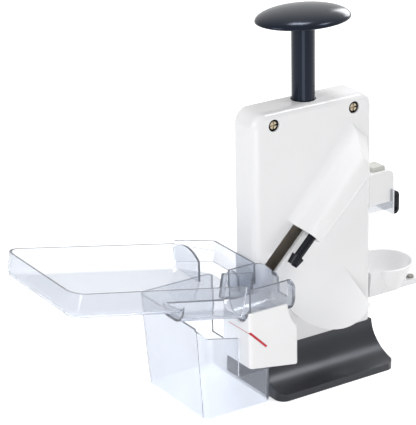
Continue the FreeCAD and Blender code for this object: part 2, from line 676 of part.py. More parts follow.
def make_crosshead():
    """The bar on the shaft's foot with the pin slot and the arm of the knife."""
    bar = box("cross_bar", ("-cross_half", "cross_half"), ("-cross_front", "cross_rear"), ("cross_low", "cross_high"))
    arm = box("cross_arm", ("cross_half - 1", "arm_end"), ("-cross_front", "cross_rear"), ("arm_low", "arm_high"))
    collar = box(
        "cross_collar", ("-collar_half", "collar_half"), ("-collar_front", "collar_front"),
        ("cross_high", "collar_high"),
    )
    collar_soft = rounded("cross_collar_soft", collar, "collar_round", lambda edge: abs(heading(edge).z) > 0.9)
    cup = cylinder("cross_cup_disc", ("0", "0", "cross_low - cross_cup"), "z", "cross_cup_radius", "cross_cup")
    pin_x = "(carriage_at * sqrt(2) - axis_rise) / 2"
    pin_z = "(carriage_at * sqrt(2) + axis_rise) / 2"
    slot = join(
        "cross_slot",
        box(
            "cross_slot_run", (f"{pin_x} - plunge", pin_x), ("-collar_front", "collar_front"),
            (f"{pin_z} - pin_radius - pin_gap", f"{pin_z} + pin_radius + pin_gap"),
        ),
        bore("cross_slot_right", pin_x, "-collar_front", pin_z, "pin_radius + pin_gap", "collar_front * 2"),
        bore(
            "cross_slot_left", f"{pin_x} - plunge", "-collar_front", pin_z, "pin_radius + pin_gap", "collar_front * 2",
        ),
    )
    spigot = cylinder("cross_spigot_hole", ("0", "0", "cross_high"), "z", "spigot_radius", "collar_high - cross_high")
    pin = cylinder(
        "cross_pin_hole", ("-collar_half - 1", "0", "cross_pin_z"), "x", "cross_pin_radius", "collar_half * 2 + 2",
    )
    finish(cut("crosshead", join("cross_body", bar, arm, collar_soft, cup), slot, spigot, pin), "crosshead")


def make_crosshead_pin():
    """The cross pin through crosshead and spigot."""
    finish(cylinder(
        "crosshead_pin", ("-collar_half", "0", "cross_pin_z"), "x", "cross_pin_radius", "collar_half * 2",
    ), "crosshead_pin")


def make_spring_guide():
    """The post on the foot that the return spring stands round."""
    finish(join(
        "spring_guide",
        cylinder("guide_flange_disc", ("0", "0", "house_bottom"), "z", "guide_flange", "guide_flange_high"),
        cylinder("guide_post", ("0", "0", "house_bottom"), "z", "guide_radius", "guide_top - house_bottom"),
    ), "spring_guide")


def make_return_spring():
    """The coil spring between the guide's flange and the crosshead."""
    low = size("house_bottom") + size("guide_flange_high") + size("spring_wire")
    high = size("cross_low") - size("cross_cup") - size("spring_wire")
    path = Part.makeHelix((high - low) / size("spring_turns"), high - low, size("spring_radius"))
    path.translate(Vector(0, 0, low))
    start = Vector(size("spring_radius"), 0, low)
    wire = Part.Wire([Part.makeCircle(size("spring_wire"), start, Vector(0, 1, 0))])
    coil = doc.addObject("Part::Feature", "return_spring")
    coil.Shape = Part.Wire(path.Edges).makePipeShell([wire], True, True)
    finish(coil, "return_spring")


def make_ejector_rod():
    """The fluted rod on the slanted axis."""
    rod = cylinder("rod_body", on_axis("rod_low"), "rise", "rod_radius", "carriage_at + carriage_half * 3 - rod_low")
    flutes = [
        flute(f"rod_flute_{k}", k / FLUTES, "rod_radius", "rod_low - 1", "hood_reach - rod_low") for k in range(FLUTES)
    ]
    finish(cut("ejector_rod", rod, *flutes), "ejector_rod")


def flute(name, part, radius, along, length):
    """A round groove along the slanted axis at a part of a turn round it."""
    groove = doc.addObject("Part::Cylinder", name)
    groove.Placement = Placement(Vector(), TURNS["rise"])
    bind(groove, {"Radius": "groove_radius", "Height": length})
    angle = math.degrees(2 * math.pi * part)
    across = f"({radius}) * cos({angle}deg)"
    depth = f"({radius}) * sin({angle}deg)"
    seat_at(groove, *on_axis(along, across, f"-axis_depth + {depth}"))
    return groove


def make_ejector_head():
    """The fluted head with its V notch that pushes the stone out."""
    body = cone("head_body", on_axis("tip_low"), "rise", "tip_radius", "head_radius", "rod_low - tip_low")
    tools = []
    for k in range(FLUTES):
        groove = flute(f"head_flute_{k}", k / FLUTES, "head_radius", "tip_low - 1", "rod_low - tip_low + 2")
        bind(groove, {"Radius": "head_groove"})
        tools.append(groove)
    notch = prism("head_notch", [
        ("-tip_notch", "-1"), ("tip_notch", "-1"), ("0", "tip_notch"),
    ], TURNS["rise"] * FRONT_VIEW, on_axis("tip_low", y="-axis_depth + head_radius * 2"), "head_radius * 4")
    finish(cut("ejector_head", body, *tools, notch), "ejector_head")


def make_carriage():
    """The collar on the rod whose neck reaches back to the slot."""
    collar = cylinder(
        "carriage_collar", on_axis("carriage_at - carriage_half"), "rise", "carriage_radius", "carriage_half * 2",
    )
    neck = axis_box(
        "carriage_neck_box", ("-carriage_neck", "carriage_neck"), ("-axis_depth", "-carriage_back"),
        ("carriage_at - carriage_half", "carriage_at + carriage_half"),
    )
    hole = cylinder("carriage_hole", on_axis("carriage_at - carriage_half * 2"), "rise", "rod_radius", "carriage_half * 4")
    finish(cut("ejector_carriage", join("carriage_body", collar, neck), hole), "ejector_carriage")


def make_follower_pin():
    """The pin from the carriage through the slot into the crosshead."""
    x, y, z = on_axis("carriage_at", y="-carriage_back")
    finish(bore("follower_pin", x, y, z, "pin_radius", "carriage_back - pin_end"), "follower_pin")


def make_cherry_seat():
    """The clear trough in which one cherry lies under the rod."""
    outer = bore("seat_outer", "-seat_left", "-axis_depth", "seat_mid_z", "seat_radius + seat_wall",
                 "seat_left - seat_right", "x")
    upper = box(
        "seat_upper", ("-seat_left", "-seat_right"),
        ("-axis_depth - seat_radius - seat_wall", "-axis_depth + seat_radius + seat_wall"),
        ("seat_mid_z", "seat_rear_high"),
    )
    inner = bore("seat_inner", "-seat_left - 1", "-axis_depth", "seat_mid_z", "seat_radius",
                 "seat_left - seat_right + 1 - seat_wall", "x")
    inner_upper = box(
        "seat_inner_upper", ("-seat_left - 1", "-seat_right - seat_wall"),
        ("-axis_depth - seat_radius", "-axis_depth + seat_radius"), ("seat_mid_z", "seat_rear_high + 1"),
    )
    profile = join(
        "seat_profile",
        bore("seat_arc", "-seat_arc_x", "-axis_depth * 2", "seat_arc_z", "seat_arc_radius", "axis_depth * 2"),
        box("seat_left_part", ("-seat_left", "-seat_arc_x"), ("-axis_depth * 2", "0"),
            ("seat_mid_z - seat_radius - seat_wall", "seat_rear_high")),
        box("seat_low_part", ("-seat_left", "-seat_right"), ("-axis_depth * 2", "0"),
            ("seat_mid_z - seat_radius - seat_wall", "seat_arc_z")),
    )
    front_top = box(
        "seat_front_top", ("-seat_left - 1", "-seat_right + 1"), ("-axis_depth * 2", "-axis_depth"),
        ("seat_front_high", "seat_rear_high + 1"),
    )
    notch = box(
        "seat_notch_box", ("-seat_right - seat_wall - 1", "-seat_right + 1"),
        ("-axis_depth - seat_notch", "-axis_depth + seat_notch"), ("seat_mid_z - seat_notch / 2", "seat_rear_high"),
    )
    hole = cylinder("seat_stone_hole", on_axis("0"), "rise", "stone_radius", "slot_low")
    walls = common("seat_form", join("seat_solid", outer, upper), profile)
    finish(cut("cherry_seat", walls, inner, inner_upper, front_top, notch, hole), "cherry_seat")


def make_stone_chute():
    """The white block under the seat with its stone passage and lip slot."""
    block = prism("chute_block", [
        ("-chute_left", "chute_low_left"),
        ("-chute_right", "chute_low_right"),
        ("-chute_right", "chute_high"),
        ("-chute_left", "chute_high"),
    ], FRONT_VIEW, ("0", "-face_depth", "0"), "chute_front - face_depth")
    right = -size("chute_right")
    front = -size("chute_front")
    soft = rounded("chute_soft", block, "chute_round", lambda edge: (
        (abs(heading(edge).z) > 0.9 and near(middle(edge).y, front))
        or (abs(heading(edge).y) > 0.9 and near(edge.Vertexes[0].X, right) and middle(edge).z < size("seat_mid_z") / 2)
    ))
    tongue = prism("chute_tongue", [
        ("-chute_left", "chute_low_left"),
        ("-house_half - gap", "chute_low_left - (chute_left - house_half) * (chute_low_left - chute_low_right)"
         " / (chute_left - chute_right)"),
        ("-house_half - gap", "chute_tongue_high"),
        ("-chute_left", "chute_tongue_high"),
    ], FRONT_VIEW, ("0", "-chute_back", "0"), "face_depth - chute_back + 1")
    seat = bore("chute_seat", "-chute_left - 1", "-axis_depth", "seat_mid_z",
                "seat_radius + seat_wall", "chute_left - chute_right + 2", "x")
    passage = cylinder("chute_passage", on_axis("lip_sum / sqrt(2) - lip_thick"), "rise", "stone_radius", "axis_rise")
    left_room = box(
        "chute_left_room", ("-chute_left + chute_wall", "-chute_partition - chute_wall"),
        ("-chute_front + chute_wall", "-face_depth - chute_wall"), ("chute_low_right - 1", "chute_room_high"),
    )
    right_room = box(
        "chute_right_room", ("-chute_partition", "-chute_right - chute_wall"),
        ("-chute_front + chute_wall", "-face_depth - chute_wall"), ("chute_low_right - 1", "chute_right_room_high"),
    )
    bite = bore(
        "chute_ramp_bite", "-chute_bite_x", "-chute_front - 1", "chute_bite_z", "chute_bite_radius", "chute_front",
    )
    lip = axis_box(
        "chute_lip_slot", ("-lip_up - lip_gap", "lip_down + lip_gap"), ("-chute_front - 1", "-lip_back + lip_gap"),
        ("lip_sum / sqrt(2) - lip_thick - lip_gap", "lip_sum / sqrt(2) + lip_gap"),
    )
    relief = box(
        "chute_foot_relief", ("-foot_left - gap", "0"), ("-face_depth - 1", "0"), ("0", "house_bottom + gap"),
    )
    body = join("chute_body", soft, tongue)
    hollow = cut("chute_hollow", body, seat, passage, left_room, right_room, bite, lip, relief)
    bosses = []
    holes = []
    for k, height in enumerate(("chute_screw_low", "chute_screw_high")):
        bosses.append(bore(
            f"chute_boss_{k}", "-chute_screw_x", "-face_depth - chute_boss_long", height, "chute_boss",
            "chute_boss_long",
        ))
        holes.append(bore(
            f"chute_boss_hole_{k}", "-chute_screw_x", "-face_depth - chute_bite", height, "screw_shank",
            "chute_bite + 1",
        ))
    finish(cut("stone_chute", join("chute_whole", hollow, *bosses), *holes), "stone_chute")


def make_chute_screws():
    """Two screws from inside the front shell into the chute."""
    screws = []
    for k, height in enumerate(("chute_screw_low", "chute_screw_high")):
        head = cylinder(
            f"chute_screw_head_{k}", ("-chute_screw_x", "-face_depth + house_wall", height), "y",
            "chute_screw_head", "chute_screw_head_long",
        )
        shank = cylinder(
            f"chute_screw_shank_{k}", ("-chute_screw_x", "-face_depth + house_wall + 1", height), "-y",
            "screw_shank", "house_wall + 1 + chute_bite - screw_end",
        )
        screws.append(join(f"chute_screw_{k}", head, shank))
    group("chute_screws", *screws)


def make_splash_lip():
    """The soft red plate with a hole that wipes the stone off the head."""
    plate = axis_box(
        "lip_plate", ("-lip_up", "lip_down"), ("-chute_front", "-lip_back"),
        ("lip_sum / sqrt(2) - lip_thick", "lip_sum / sqrt(2)"),
    )
    hole = cylinder("lip_hole_tool", on_axis("lip_sum / sqrt(2) - lip_thick * 2"), "rise", "lip_hole", "lip_thick * 4")
    finish(cut("splash_lip", plate, hole), "splash_lip")


TILT = Rotation(Vector(0, 1, 0), size("tray_tilt"))


def tray_at(along, y, up):
    """A point in the tilted frame of the tray's rim."""
    return (
        f"-tray_rim_x + ({along}) * cos(tray_tilt * 1deg) + ({up}) * sin(tray_tilt * 1deg)",
        y,
        f"tray_rim_z - ({along}) * sin(tray_tilt * 1deg) + ({up}) * cos(tray_tilt * 1deg)",
    )


def along_tray(x):
    """The distance along the tilted rim of a place given along X."""
    return f"(tray_rim_x - {x}) / cos(tray_tilt * 1deg)"


def tray_box(name, x, y, z):
    """A box in the tilted frame of the tray's rim."""
    piece = box(name, x, y, z)
    piece.Placement = Placement(Vector(), TILT)
    seat_at(piece, *tray_at(x[0], y[0], z[0]))
    return piece


def tray_block(name, inset, low, corner, floor):
    """The tray's basin, inset by a wall, with round left corners and a round floor."""
    left, right = f"{along_tray('tray_left')} + {inset}", f"{along_tray('tray_end')} - {inset}"
    mouth, slant = f"{along_tray('tray_exit')} - {inset}", f"{along_tray('tray_cut_x')} - {inset}"
    step = "-face_depth + gap"
    block = prism(f"{name}_block", [
        (left, f"-tray_front + {inset}"),
        (mouth, f"-tray_front + {inset}"),
        (mouth, f"{step} + {inset}"),
        (right, f"{step} + {inset}"),
        (right, f"tray_cut_y - {inset}"),
        (slant, f"tray_back - {inset}"),
        (left, f"tray_back - {inset}"),
    ], TILT, tray_at("0", "0", low), f"-({low}) + ({inset})")

    def local(point):
        """A point as seen in the tilted frame."""
        shifted = point - Vector(-size("tray_rim_x"), 0, size("tray_rim_z"))
        return TILT.inverted().multVec(shifted)

    doc.recompute()
    corner_line = min(local(vertex.Point).x for vertex in block.Shape.Vertexes)
    soft = rounded(f"{name}_corner", block, corner, lambda edge: (
        near(local(middle(edge)).x, corner_line) and not near(heading(edge).z, 0)
        and abs(heading(edge).y) < 0.1
    ))
    doc.recompute()
    floor_line = min(local(vertex.Point).z for vertex in soft.Shape.Vertexes)
    sides = [min(vertex.Y for vertex in soft.Shape.Vertexes), max(vertex.Y for vertex in soft.Shape.Vertexes)]

    def on_floor(edge):
        """Whether an edge runs round the left, front or back of the floor."""
        point = local(middle(edge))
        outer = near(point.x, corner_line) or near(point.y, sides[0]) or near(point.y, sides[1])
        return near(point.z, floor_line) and (outer or edge.Curve.TypeId == "Part::GeomCircle")

    return rounded(name, soft, floor, on_floor)


def make_cherry_tray():
    """The clear tilted tray with its channel to the seat and its raised end."""
    channel = tray_box(
        "tray_channel", (along_tray("tray_channel_x"), along_tray("tray_exit")),
        ("-tray_front", "-tray_channel_back"), ("-tray_channel_deep", "-tray_deep / 2"),
    )

    def on_channel_floor(edge):
        """Whether an edge runs along the channel's floor, below its middle line."""
        along = near(heading(edge).y, 0) and abs(heading(edge).x) > 0.9
        return along and middle(edge).z < size("tray_end_high") - size("tray_deep")

    channel_soft = rounded("tray_channel_soft", channel, "tray_channel_round", on_channel_floor)
    channel_inner = tray_box(
        "tray_channel_inner", (f"{along_tray('tray_channel_x')} + tray_wall", f"{along_tray('tray_exit')} + 1"),
        ("-tray_front + tray_wall", "-tray_channel_back - tray_wall"), ("-tray_channel_deep + tray_wall", "1"),
    )
    inner_soft = rounded(
        "tray_channel_inner_soft", channel_inner, "tray_channel_inner_round", on_channel_floor,
    )
    end = box(
        "tray_end_wall", ("-tray_end - tray_wall", "-tray_end"),
        ("-face_depth + gap", "tray_cut_y"),
        ("tray_end_low", "tray_end_high"),
    )
    slant = prism("tray_slant_wall", [
        ("-tray_cut_x", "tray_back"),
        ("-tray_cut_x", "tray_back - tray_wall * 1.4"),
        ("-tray_end - tray_wall", "tray_cut_y - tray_wall * 0.4"),
        ("-tray_end", "tray_cut_y"),
    ], Rotation(), ("0", "0", "tray_end_low"), "tray_end_high - tray_end_low")
    outer = tray_block("tray_outer", "0", "-tray_deep", "tray_corner", "tray_floor_round")
    inner = tray_block("tray_inner", "tray_wall", "-tray_deep + tray_wall", "tray_inner_corner", "tray_inner_round")
    body = join("tray_body", outer, channel_soft, end, slant)
    hollow = cut("tray_hollow", body, inner, inner_soft)
    ribs = []
    for k, x in enumerate(("tray_rib_left", "tray_rib_right")):
        low, high, foot, top = f"{x}_from", f"{x}_to", f"{x}_low", f"{x}_high"
        half = f"({high} - {low}) / 2"
        radius = f"(({half}) * ({half}) + tray_rib_arch * tray_rib_arch) / (2 * tray_rib_arch)"
        disc = bore(f"tray_rib_disc_{k}", f"-{x}", f"({low} + {high}) / 2", f"{top} - ({radius})", radius, "tray_wall", "x")
        band = box(
            f"tray_rib_band_{k}", (f"-{x}", f"-{x} + tray_wall"), (low, high), (foot, top),
        )
        ribs.append(common(f"tray_rib_{k}", disc, band))
    finish(join("cherry_tray", hollow, *ribs), "cherry_tray")


def make_stone_container():
    """The clear drafted box that catches the stones."""
    def ring(name, inset, up):
        """One level of the box: its rectangle widens with height."""
        part = f"({up}) / bin_high"
        sketch = outline(name, [
            (f"-bin_left - bin_draft_side * {part} + {inset}", f"-bin_front - bin_draft * {part} + {inset}"),
            (f"-bin_right - {inset}", f"-bin_front - bin_draft * {part} + {inset}"),
            (f"-bin_right - {inset}", f"bin_back + bin_draft * {part} - {inset}"),
            (f"-bin_left - bin_draft_side * {part} + {inset}", f"bin_back + bin_draft * {part} - {inset}"),
        ])
        seat_at(sketch, "0", "0", up)
        return sketch

    outer = loft("bin_outer_loft", ring("bin_base", "0", "0"), ring("bin_rim", "0", "bin_high"))
    inner = loft(
        "bin_inner_loft", ring("bin_inner_base", "bin_wall", "bin_wall"), ring("bin_inner_rim", "bin_wall", "bin_high + 1"),
    )
    outer_soft = rounded("bin_outer", outer, "bin_corner", lambda edge: abs(heading(edge).z) > 0.9)
    inner_soft = rounded("bin_inner", inner, "bin_inner_corner", lambda edge: abs(heading(edge).z) > 0.9)
    far = "bin_left * 2"
    front = prism("bin_front_cut", [
        (f"-{far}", "bin_high + 1"),
        (f"-{far}", "bin_high"),
        ("-bin_left - bin_draft_side", "bin_high"),
        ("-bin_dip_x - bin_draft_side * 5", "bin_dip_mid"),
        ("-bin_dip_x", "bin_dip"),
        ("-bin_dip_x", "bin_low"),
        ("0", "bin_low"),
        ("0", "bin_high + 1"),
    ], FRONT_VIEW, ("0", "-bin_front + bin_wall * 3", "0"), "bin_front * 2")
    right = box(
        "bin_right_cut", ("-bin_right - bin_wall * 3", "0"), ("-bin_front * 2", "bin_back - bin_wall * 2"),
        ("bin_low", "bin_high + 1"),
    )
    finish(cut("stone_container", outer_soft, inner_soft, front, right), "stone_container")


def make_foot():
    """The dark foot: concave flare in front, dome behind, hollow underneath."""
    block = box("foot_block", ("-foot_left", "foot_right"), ("-foot_front", "foot_back"), ("0", "house_bottom"))
    soft = rounded("foot_soft", block, "foot_corner", lambda edge: abs(heading(edge).z) > 0.9)
    flare = bore(
        "foot_flare", "-foot_left * 2", "-face_depth - flare_radius", "house_bottom + flare_lift", "flare_radius",
        "foot_left * 5", "x",
    )
    side = bore(
        "foot_side_flare", "house_half + foot_side_radius", "-foot_front - 1", "house_bottom", "foot_side_radius",
        "foot_front + foot_back + 2",
    )
    behind = box(
        "foot_behind", ("-foot_left * 2", "foot_right * 2"), ("house_back", "foot_back * 2"), ("-1", "house_bottom + 1"),
    )
    dome = bore(
        "foot_dome", "-foot_left * 2", "foot_dome_y", "foot_dome_z", "foot_dome_radius", "foot_left * 5", "x",
    )
    ledge = box(
        "foot_ledge", ("-house_half", "-foot_left + 1"), ("-face_depth", "house_back"), ("foot_ledge", "house_bottom"),
    )
    body = join("foot_body", cut("foot_flared", soft, flare, side, cut("foot_back_cut", behind, dome)), ledge)
    tools = [
        cylinder("foot_pad_room", ("pad_x", "0", "-1"), "z", "pad_radius + slide_gap", "foot_pad_high + 1"),
        box(
            "foot_works_room", ("pad_x - axle_half", "pad_x + axle_half"), ("-foot_works_front", "foot_works_back"),
            ("-1", "house_bottom - foot_top_plate"),
        ),
        box(
            "foot_lever_slot", ("pad_x - lever_half - slide_gap", "pad_x + lever_half + slide_gap"),
            ("0", "foot_back * 2"), ("axle_z - lever_thick / 2 - 4", "axle_z + foot_slot_up"),
        ),
        bore(
            "foot_axle_hole", "pad_x - axle_half - axle_bite", "axle_y", "axle_z", "axle_radius",
            "(axle_half + axle_bite) * 2", "x",
        ),
    ]
    for k, side_sign in enumerate((-1, 1)):
        x = f"{side_sign} * foot_screw_x"
        tools.append(cylinder(
            f"foot_screw_well_{k}", (x, "foot_screw_y", "-1"), "z", "foot_head + gap",
            "house_bottom - foot_top_plate + 1",
        ))
        tools.append(cylinder(f"foot_screw_hole_{k}", (x, "foot_screw_y", "0"), "z", "foot_shank + gap", "house_bottom + 1"))
    finish(cut("foot", body, *tools), "foot")


def make_foot_screws():
    """Two screws from below that hold the foot to the rear shell."""
    group("foot_screws", *[
        screw(
            f"foot_screw_{k}", (f"{side} * foot_screw_x", "foot_screw_y", "house_bottom - foot_top_plate - foot_head_high"),
            "z", "foot_head", "foot_head_high", "foot_shank", "foot_top_plate + foot_bite - screw_end",
        ) for k, side in enumerate((-1, 1))
    ])


def make_suction_pad():
    """The rubber pad with the socket for the stem's disc."""
    disc = cylinder("pad_disc", ("pad_x", "0", "0"), "z", "pad_radius", "pad_thick")
    boss = cylinder("pad_boss_form", ("pad_x", "0", "0"), "z", "pad_boss", "pad_high")
    socket = cylinder(
        "pad_socket", ("pad_x", "0", "stem_disc_low - stem_lift - slide_gap"), "z", "stem_disc + gap",
        "stem_disc_high - stem_disc_low + stem_lift + slide_gap + gap",
    )
    neck = cylinder("pad_neck", ("pad_x", "0", "stem_disc_low"), "z", "stem_radius + gap", "pad_high")
    finish(cut("suction_pad", join("pad_body", disc, boss), socket, neck), "suction_pad")


def make_suction_stem():
    """The stem with its disc and the bridge over the cam."""
    bridge_low = "axle_z + cam_up + cam_radius + gap"
    disc = cylinder("stem_disc_form", ("pad_x", "0", "stem_disc_low"), "z", "stem_disc", "stem_disc_high - stem_disc_low")
    post = cylinder("stem_post", ("pad_x", "0", "stem_disc_low"), "z", "stem_radius", "stem_high - stem_disc_low")
    bridge = box(
        "stem_bridge", ("pad_x - stem_half", "pad_x + stem_half"), ("-stem_radius", "axle_y"),
        (bridge_low, "stem_high"),
    )
    finish(join("suction_stem", disc, post, bridge), "suction_stem")


def make_suction_lever():
    """The lever at the back with its hub, cam and forked tab."""
    hub = bore("lever_hub", "pad_x - lever_half", "axle_y", "axle_z", "hub_radius", "lever_half * 2", "x")
    cam = bore(
        "lever_cam", "pad_x - cam_half", "axle_y - cam_back", "axle_z + cam_up", "cam_radius", "cam_half * 2", "x",
    )
    tab = box(
        "lever_tab", ("pad_x - lever_half", "pad_x + lever_half"), ("axle_y", "lever_end"),
        ("axle_z - lever_thick / 2", "axle_z + lever_thick / 2"),
    )
    tab_soft = rounded("lever_tab_soft", tab, "lever_round", lambda edge: (
        abs(heading(edge).z) > 0.9 and near(middle(edge).y, size("lever_end"))
    ))
    fork = box(
        "lever_fork_gap", ("pad_x - cam_half - slide_gap", "pad_x + cam_half + slide_gap"),
        ("axle_y", "lever_fork"), ("0", "axle_z * 2"),
    )
    hole = bore("lever_axle_hole", "pad_x - lever_half - 1", "axle_y", "axle_z", "axle_radius + axle_gap",
                "lever_half * 2 + 2", "x")
    arms = cut("lever_arms", tab_soft, fork)
    finish(cut("suction_lever", join("lever_body", hub, cam, arms), hole), "suction_lever")


def make_lever_axle():
    """The axle of the suction lever."""
    finish(bore(
        "lever_axle", "pad_x - axle_half - axle_bite", "axle_y", "axle_z", "axle_radius",
        "(axle_half + axle_bite) * 2", "x",
    ), "lever_axle")


def blade_boxes(name, slack):
    """The two crossing blades, thicker by a clearance when they cut their slots."""
    half = f"knife_thick / 2 + {slack}"
    long = box(
        f"{name}_long", ("knife_x - knife_left", "knife_x + knife_right"), (f"-({half})", half),
        ("knife_low", "clip_bridge_low - gap"),
    )
    tang = box(
        f"{name}_tang", ("knife_x - knife_left", "block_right"), (f"-({half})", half),
        ("knife_low", f"block_low + knife_seat + {slack}"),
    )
    short = box(
        f"{name}_short", (f"knife_x - ({half})", f"knife_x + {half}"), ("-knife_half", "knife_half"),
        ("knife_low", f"block_low + knife_seat + {slack}"),
    )
    return join(name, long, tang, short)


def make_knife_block():
    """The white block that the arm carries: mortise, knife slots and tab pocket."""
    body = doc.addObject("PartDesign::Body", "block_body")
    plane = next(item for item in body.Origin.OriginFeatures if item.Role == "XZ_Plane")
    sketch = outline("block_profile", [
        ("block_left", "block_low"),
        ("block_right", "block_low"),
        ("block_right", "block_high"),
        ("block_left", "block_high"),
    ], body)
    sketch.AttachmentSupport = [(plane, "")]
    sketch.MapMode = "FlatFace"
    pad = body.newObject("PartDesign::Pad", "block_pad")
    pad.Profile = sketch
    pad.Midplane = True
    bind(pad, {"Length": "block_half * 2"})
    doc.recompute()
    corners = [
        f"Edge{k + 1}" for k, edge in enumerate(pad.Shape.Edges)
        if abs(heading(edge).y) > 0.9 and near(middle(edge).x, size("block_right"))
        and near(middle(edge).z, size("block_high"))
    ]
    fillet = body.newObject("PartDesign::Fillet", "block_fillet")
    fillet.Base = (pad, corners)
    bind(fillet, {"Radius": "block_round"})
    doc.recompute()
    mortise = box(
        "block_mortise", ("block_left - 1", "arm_end + gap / 4"), ("-cross_front", "cross_rear"), ("arm_low", "arm_high"),
    )
    tab = box(
        "block_tab_pocket", ("tab_left", "tab_right"), ("-tab_half", "tab_half"), ("block_high - tab_sink", "block_high + 1"),
    )
    piece = cut("knife_block_cut", body, mortise, tab, blade_boxes("block_knife_slots", "knife_gap"))
    finish(piece, "knife_block")


def make_plum_knife():
    """The cross knife that quarters a plum."""
    finish(blade_boxes("plum_knife", "0"), "plum_knife")


def make_blade_clip():
    """The dark clip hooked over the block's end and under the blade."""
    strip = box(
        "clip_strip", ("clip_right - clip_thick", "clip_right"), ("-clip_half", "clip_half"),
        ("clip_low + clip_curl", "clip_high - clip_curl"),
    )
    top = clip_curl("clip_top", "clip_high - clip_curl", "clip_high")
    low = clip_curl("clip_low_curl", "clip_low + clip_curl", "clip_low")
    bridge = box(
        "clip_bridge", ("block_right", "clip_right - clip_thick"), ("-clip_half", "clip_half"),
        ("clip_bridge_low", "clip_bridge_low + clip_thick"),
    )
    finish(join("blade_clip", strip, top, low, bridge), "blade_clip")


def clip_curl(name, centre_z, limit_z):
    """A half ring at one end of the clip that curls towards the block."""
    disc = bore(f"{name}_disc", "clip_right - clip_curl", "-clip_half", centre_z, "clip_curl", "clip_half * 2")
    hole = bore(f"{name}_hole", "clip_right - clip_curl", "-clip_half - 1", centre_z, "clip_curl - clip_thick",
                "clip_half * 2 + 2")
    span = (centre_z, limit_z) if name == "clip_top" else (limit_z, centre_z)
    half = box(f"{name}_half", ("clip_right - clip_curl * 2", "clip_right"), ("-clip_half", "clip_half"), span)
    return common(name, cut(f"{name}_ring", disc, hole), half)


def make_blade_tab():
    """The grey tab on top of the knife block."""
    tab = box("tab_form", ("tab_left", "tab_right"), ("-tab_half", "tab_half"), ("block_high - tab_sink", "tab_high"))
    finish(rounded("blade_tab", tab, "tab_round", lambda edge: (
        near(middle(edge).z, size("tab_high")) and abs(heading(edge).y) > 0.9
    )), "blade_tab")


def make_plum_cup():
    """The white funnel cup with its bracket and screw lug."""
    profile = outline("cup_profile", [
        ("cup_hole", "cup_foot_z"),
        ("cup_foot", "cup_foot_z"),
        ("cup_rim", "cup_rim_z"),
        ("cup_rim - cup_wall", "cup_rim_z"),
        ("cup_foot - cup_wall", "cup_foot_z + cup_wall"),
        ("cup_hole", "cup_foot_z + cup_wall"),
    ])
    profile.Placement = Placement(Vector(), FRONT_VIEW)
    seat_at(profile, "cup_x", "cup_y", "0")
    cup = doc.addObject("Part::Revolution", "cup_form")
    cup.Source = profile
    cup.Solid = True
    cup.Axis = Vector(0, 0, 1)
    bind(cup, {"Base.x": "cup_x", "Base.y": "cup_y"})
    bracket = prism("cup_bracket", [
        ("-cup_front", "cup_foot_z"),
        ("cup_rear", "cup_foot_z"),
        ("cup_rear", "cup_rim_z"),
        ("-cup_front_high", "cup_rim_z"),
    ], SIDE_VIEW, ("house_half", "0", "0"), "cup_x - house_half")
    lug = box(
        "cup_lug", ("cup_x", "lug_end"), ("-lug_front - lug_half", "-lug_front + lug_half"), ("cup_foot_z", "lug_high"),
    )
    inside = cone(
        "cup_inside", ("cup_x", "cup_y", "cup_foot_z + cup_wall"), "z", "cup_foot - cup_wall", "cup_rim - cup_wall",
        "cup_rim_z - cup_foot_z - cup_wall",
    )
    drain = cylinder("cup_drain", ("cup_x", "cup_y", "cup_foot_z - 1"), "z", "cup_hole", "cup_wall + 2")
    screw_hole = cylinder(
        "cup_screw_hole", ("cup_screw_x", "-lug_front", "lug_high - cup_screw_long"), "z", "cup_screw_shank",
        "cup_screw_long + 1",
    )
    solid = join("cup_body", cup, bracket, lug)
    finish(cut("plum_cup", solid, inside, drain, screw_hole), "plum_cup")


def make_plum_cup_screw():
    """The screw in the lug of the cup."""
    head = cylinder("cup_screw_head_form", ("cup_screw_x", "-lug_front", "lug_high"), "z", "cup_screw_head", "cup_screw_head_high")
    shank = cylinder(
        "cup_screw_shank_form", ("cup_screw_x", "-lug_front", "lug_high - cup_screw_long + screw_end"), "z",
        "cup_screw_shank", "cup_screw_long",
    )
    finish(join("plum_cup_screw", head, shank), "plum_cup_screw")


MAKERS = (
    make_handle_cap, make_cap_screw, make_plunger_shaft, make_shaft_bush, make_crosshead, make_crosshead_pin,
    make_return_spring, make_spring_guide, make_front_shell, make_rear_shell, make_shell_screws,
    make_ejector_rod, make_ejector_head, make_carriage, make_follower_pin, make_cherry_seat,
    make_stone_chute, make_chute_screws, make_splash_lip, make_cherry_tray, make_stone_container,
    make_foot, make_foot_screws, make_suction_pad, make_suction_stem, make_suction_lever, make_lever_axle,
    make_knife_block, make_plum_knife, make_blade_clip, make_blade_tab, make_plum_cup, make_plum_cup_screw,
)
for make in MAKERS:
    make()
doc.recompute()

faults = [item.Name for item in doc.Objects if {"Invalid", "Error"} & set(item.State)]
faults += [piece.Label for piece in SUBPARTS if piece.Shape.isNull() or not piece.Shape.isValid()]
if faults:
    raise RuntimeError(f"These objects failed: {faults}")
os.makedirs("parts", exist_ok=True)
for piece in SUBPARTS:
    piece.Shape.exportStep(f"parts/{piece.Label}.step")
    print(f"{piece.Label}: {len(piece.Shape.Solids)} solid(s), {piece.Shape.Volume:.0f} cubic mm")
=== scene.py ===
"""Looks of a cherry and plum pitter on a suction foot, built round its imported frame."""

import json
import logging
import math
from dataclasses import dataclass
from enum import Enum
from typing import Sequence

import bpy
from mathutils import Matrix, Vector

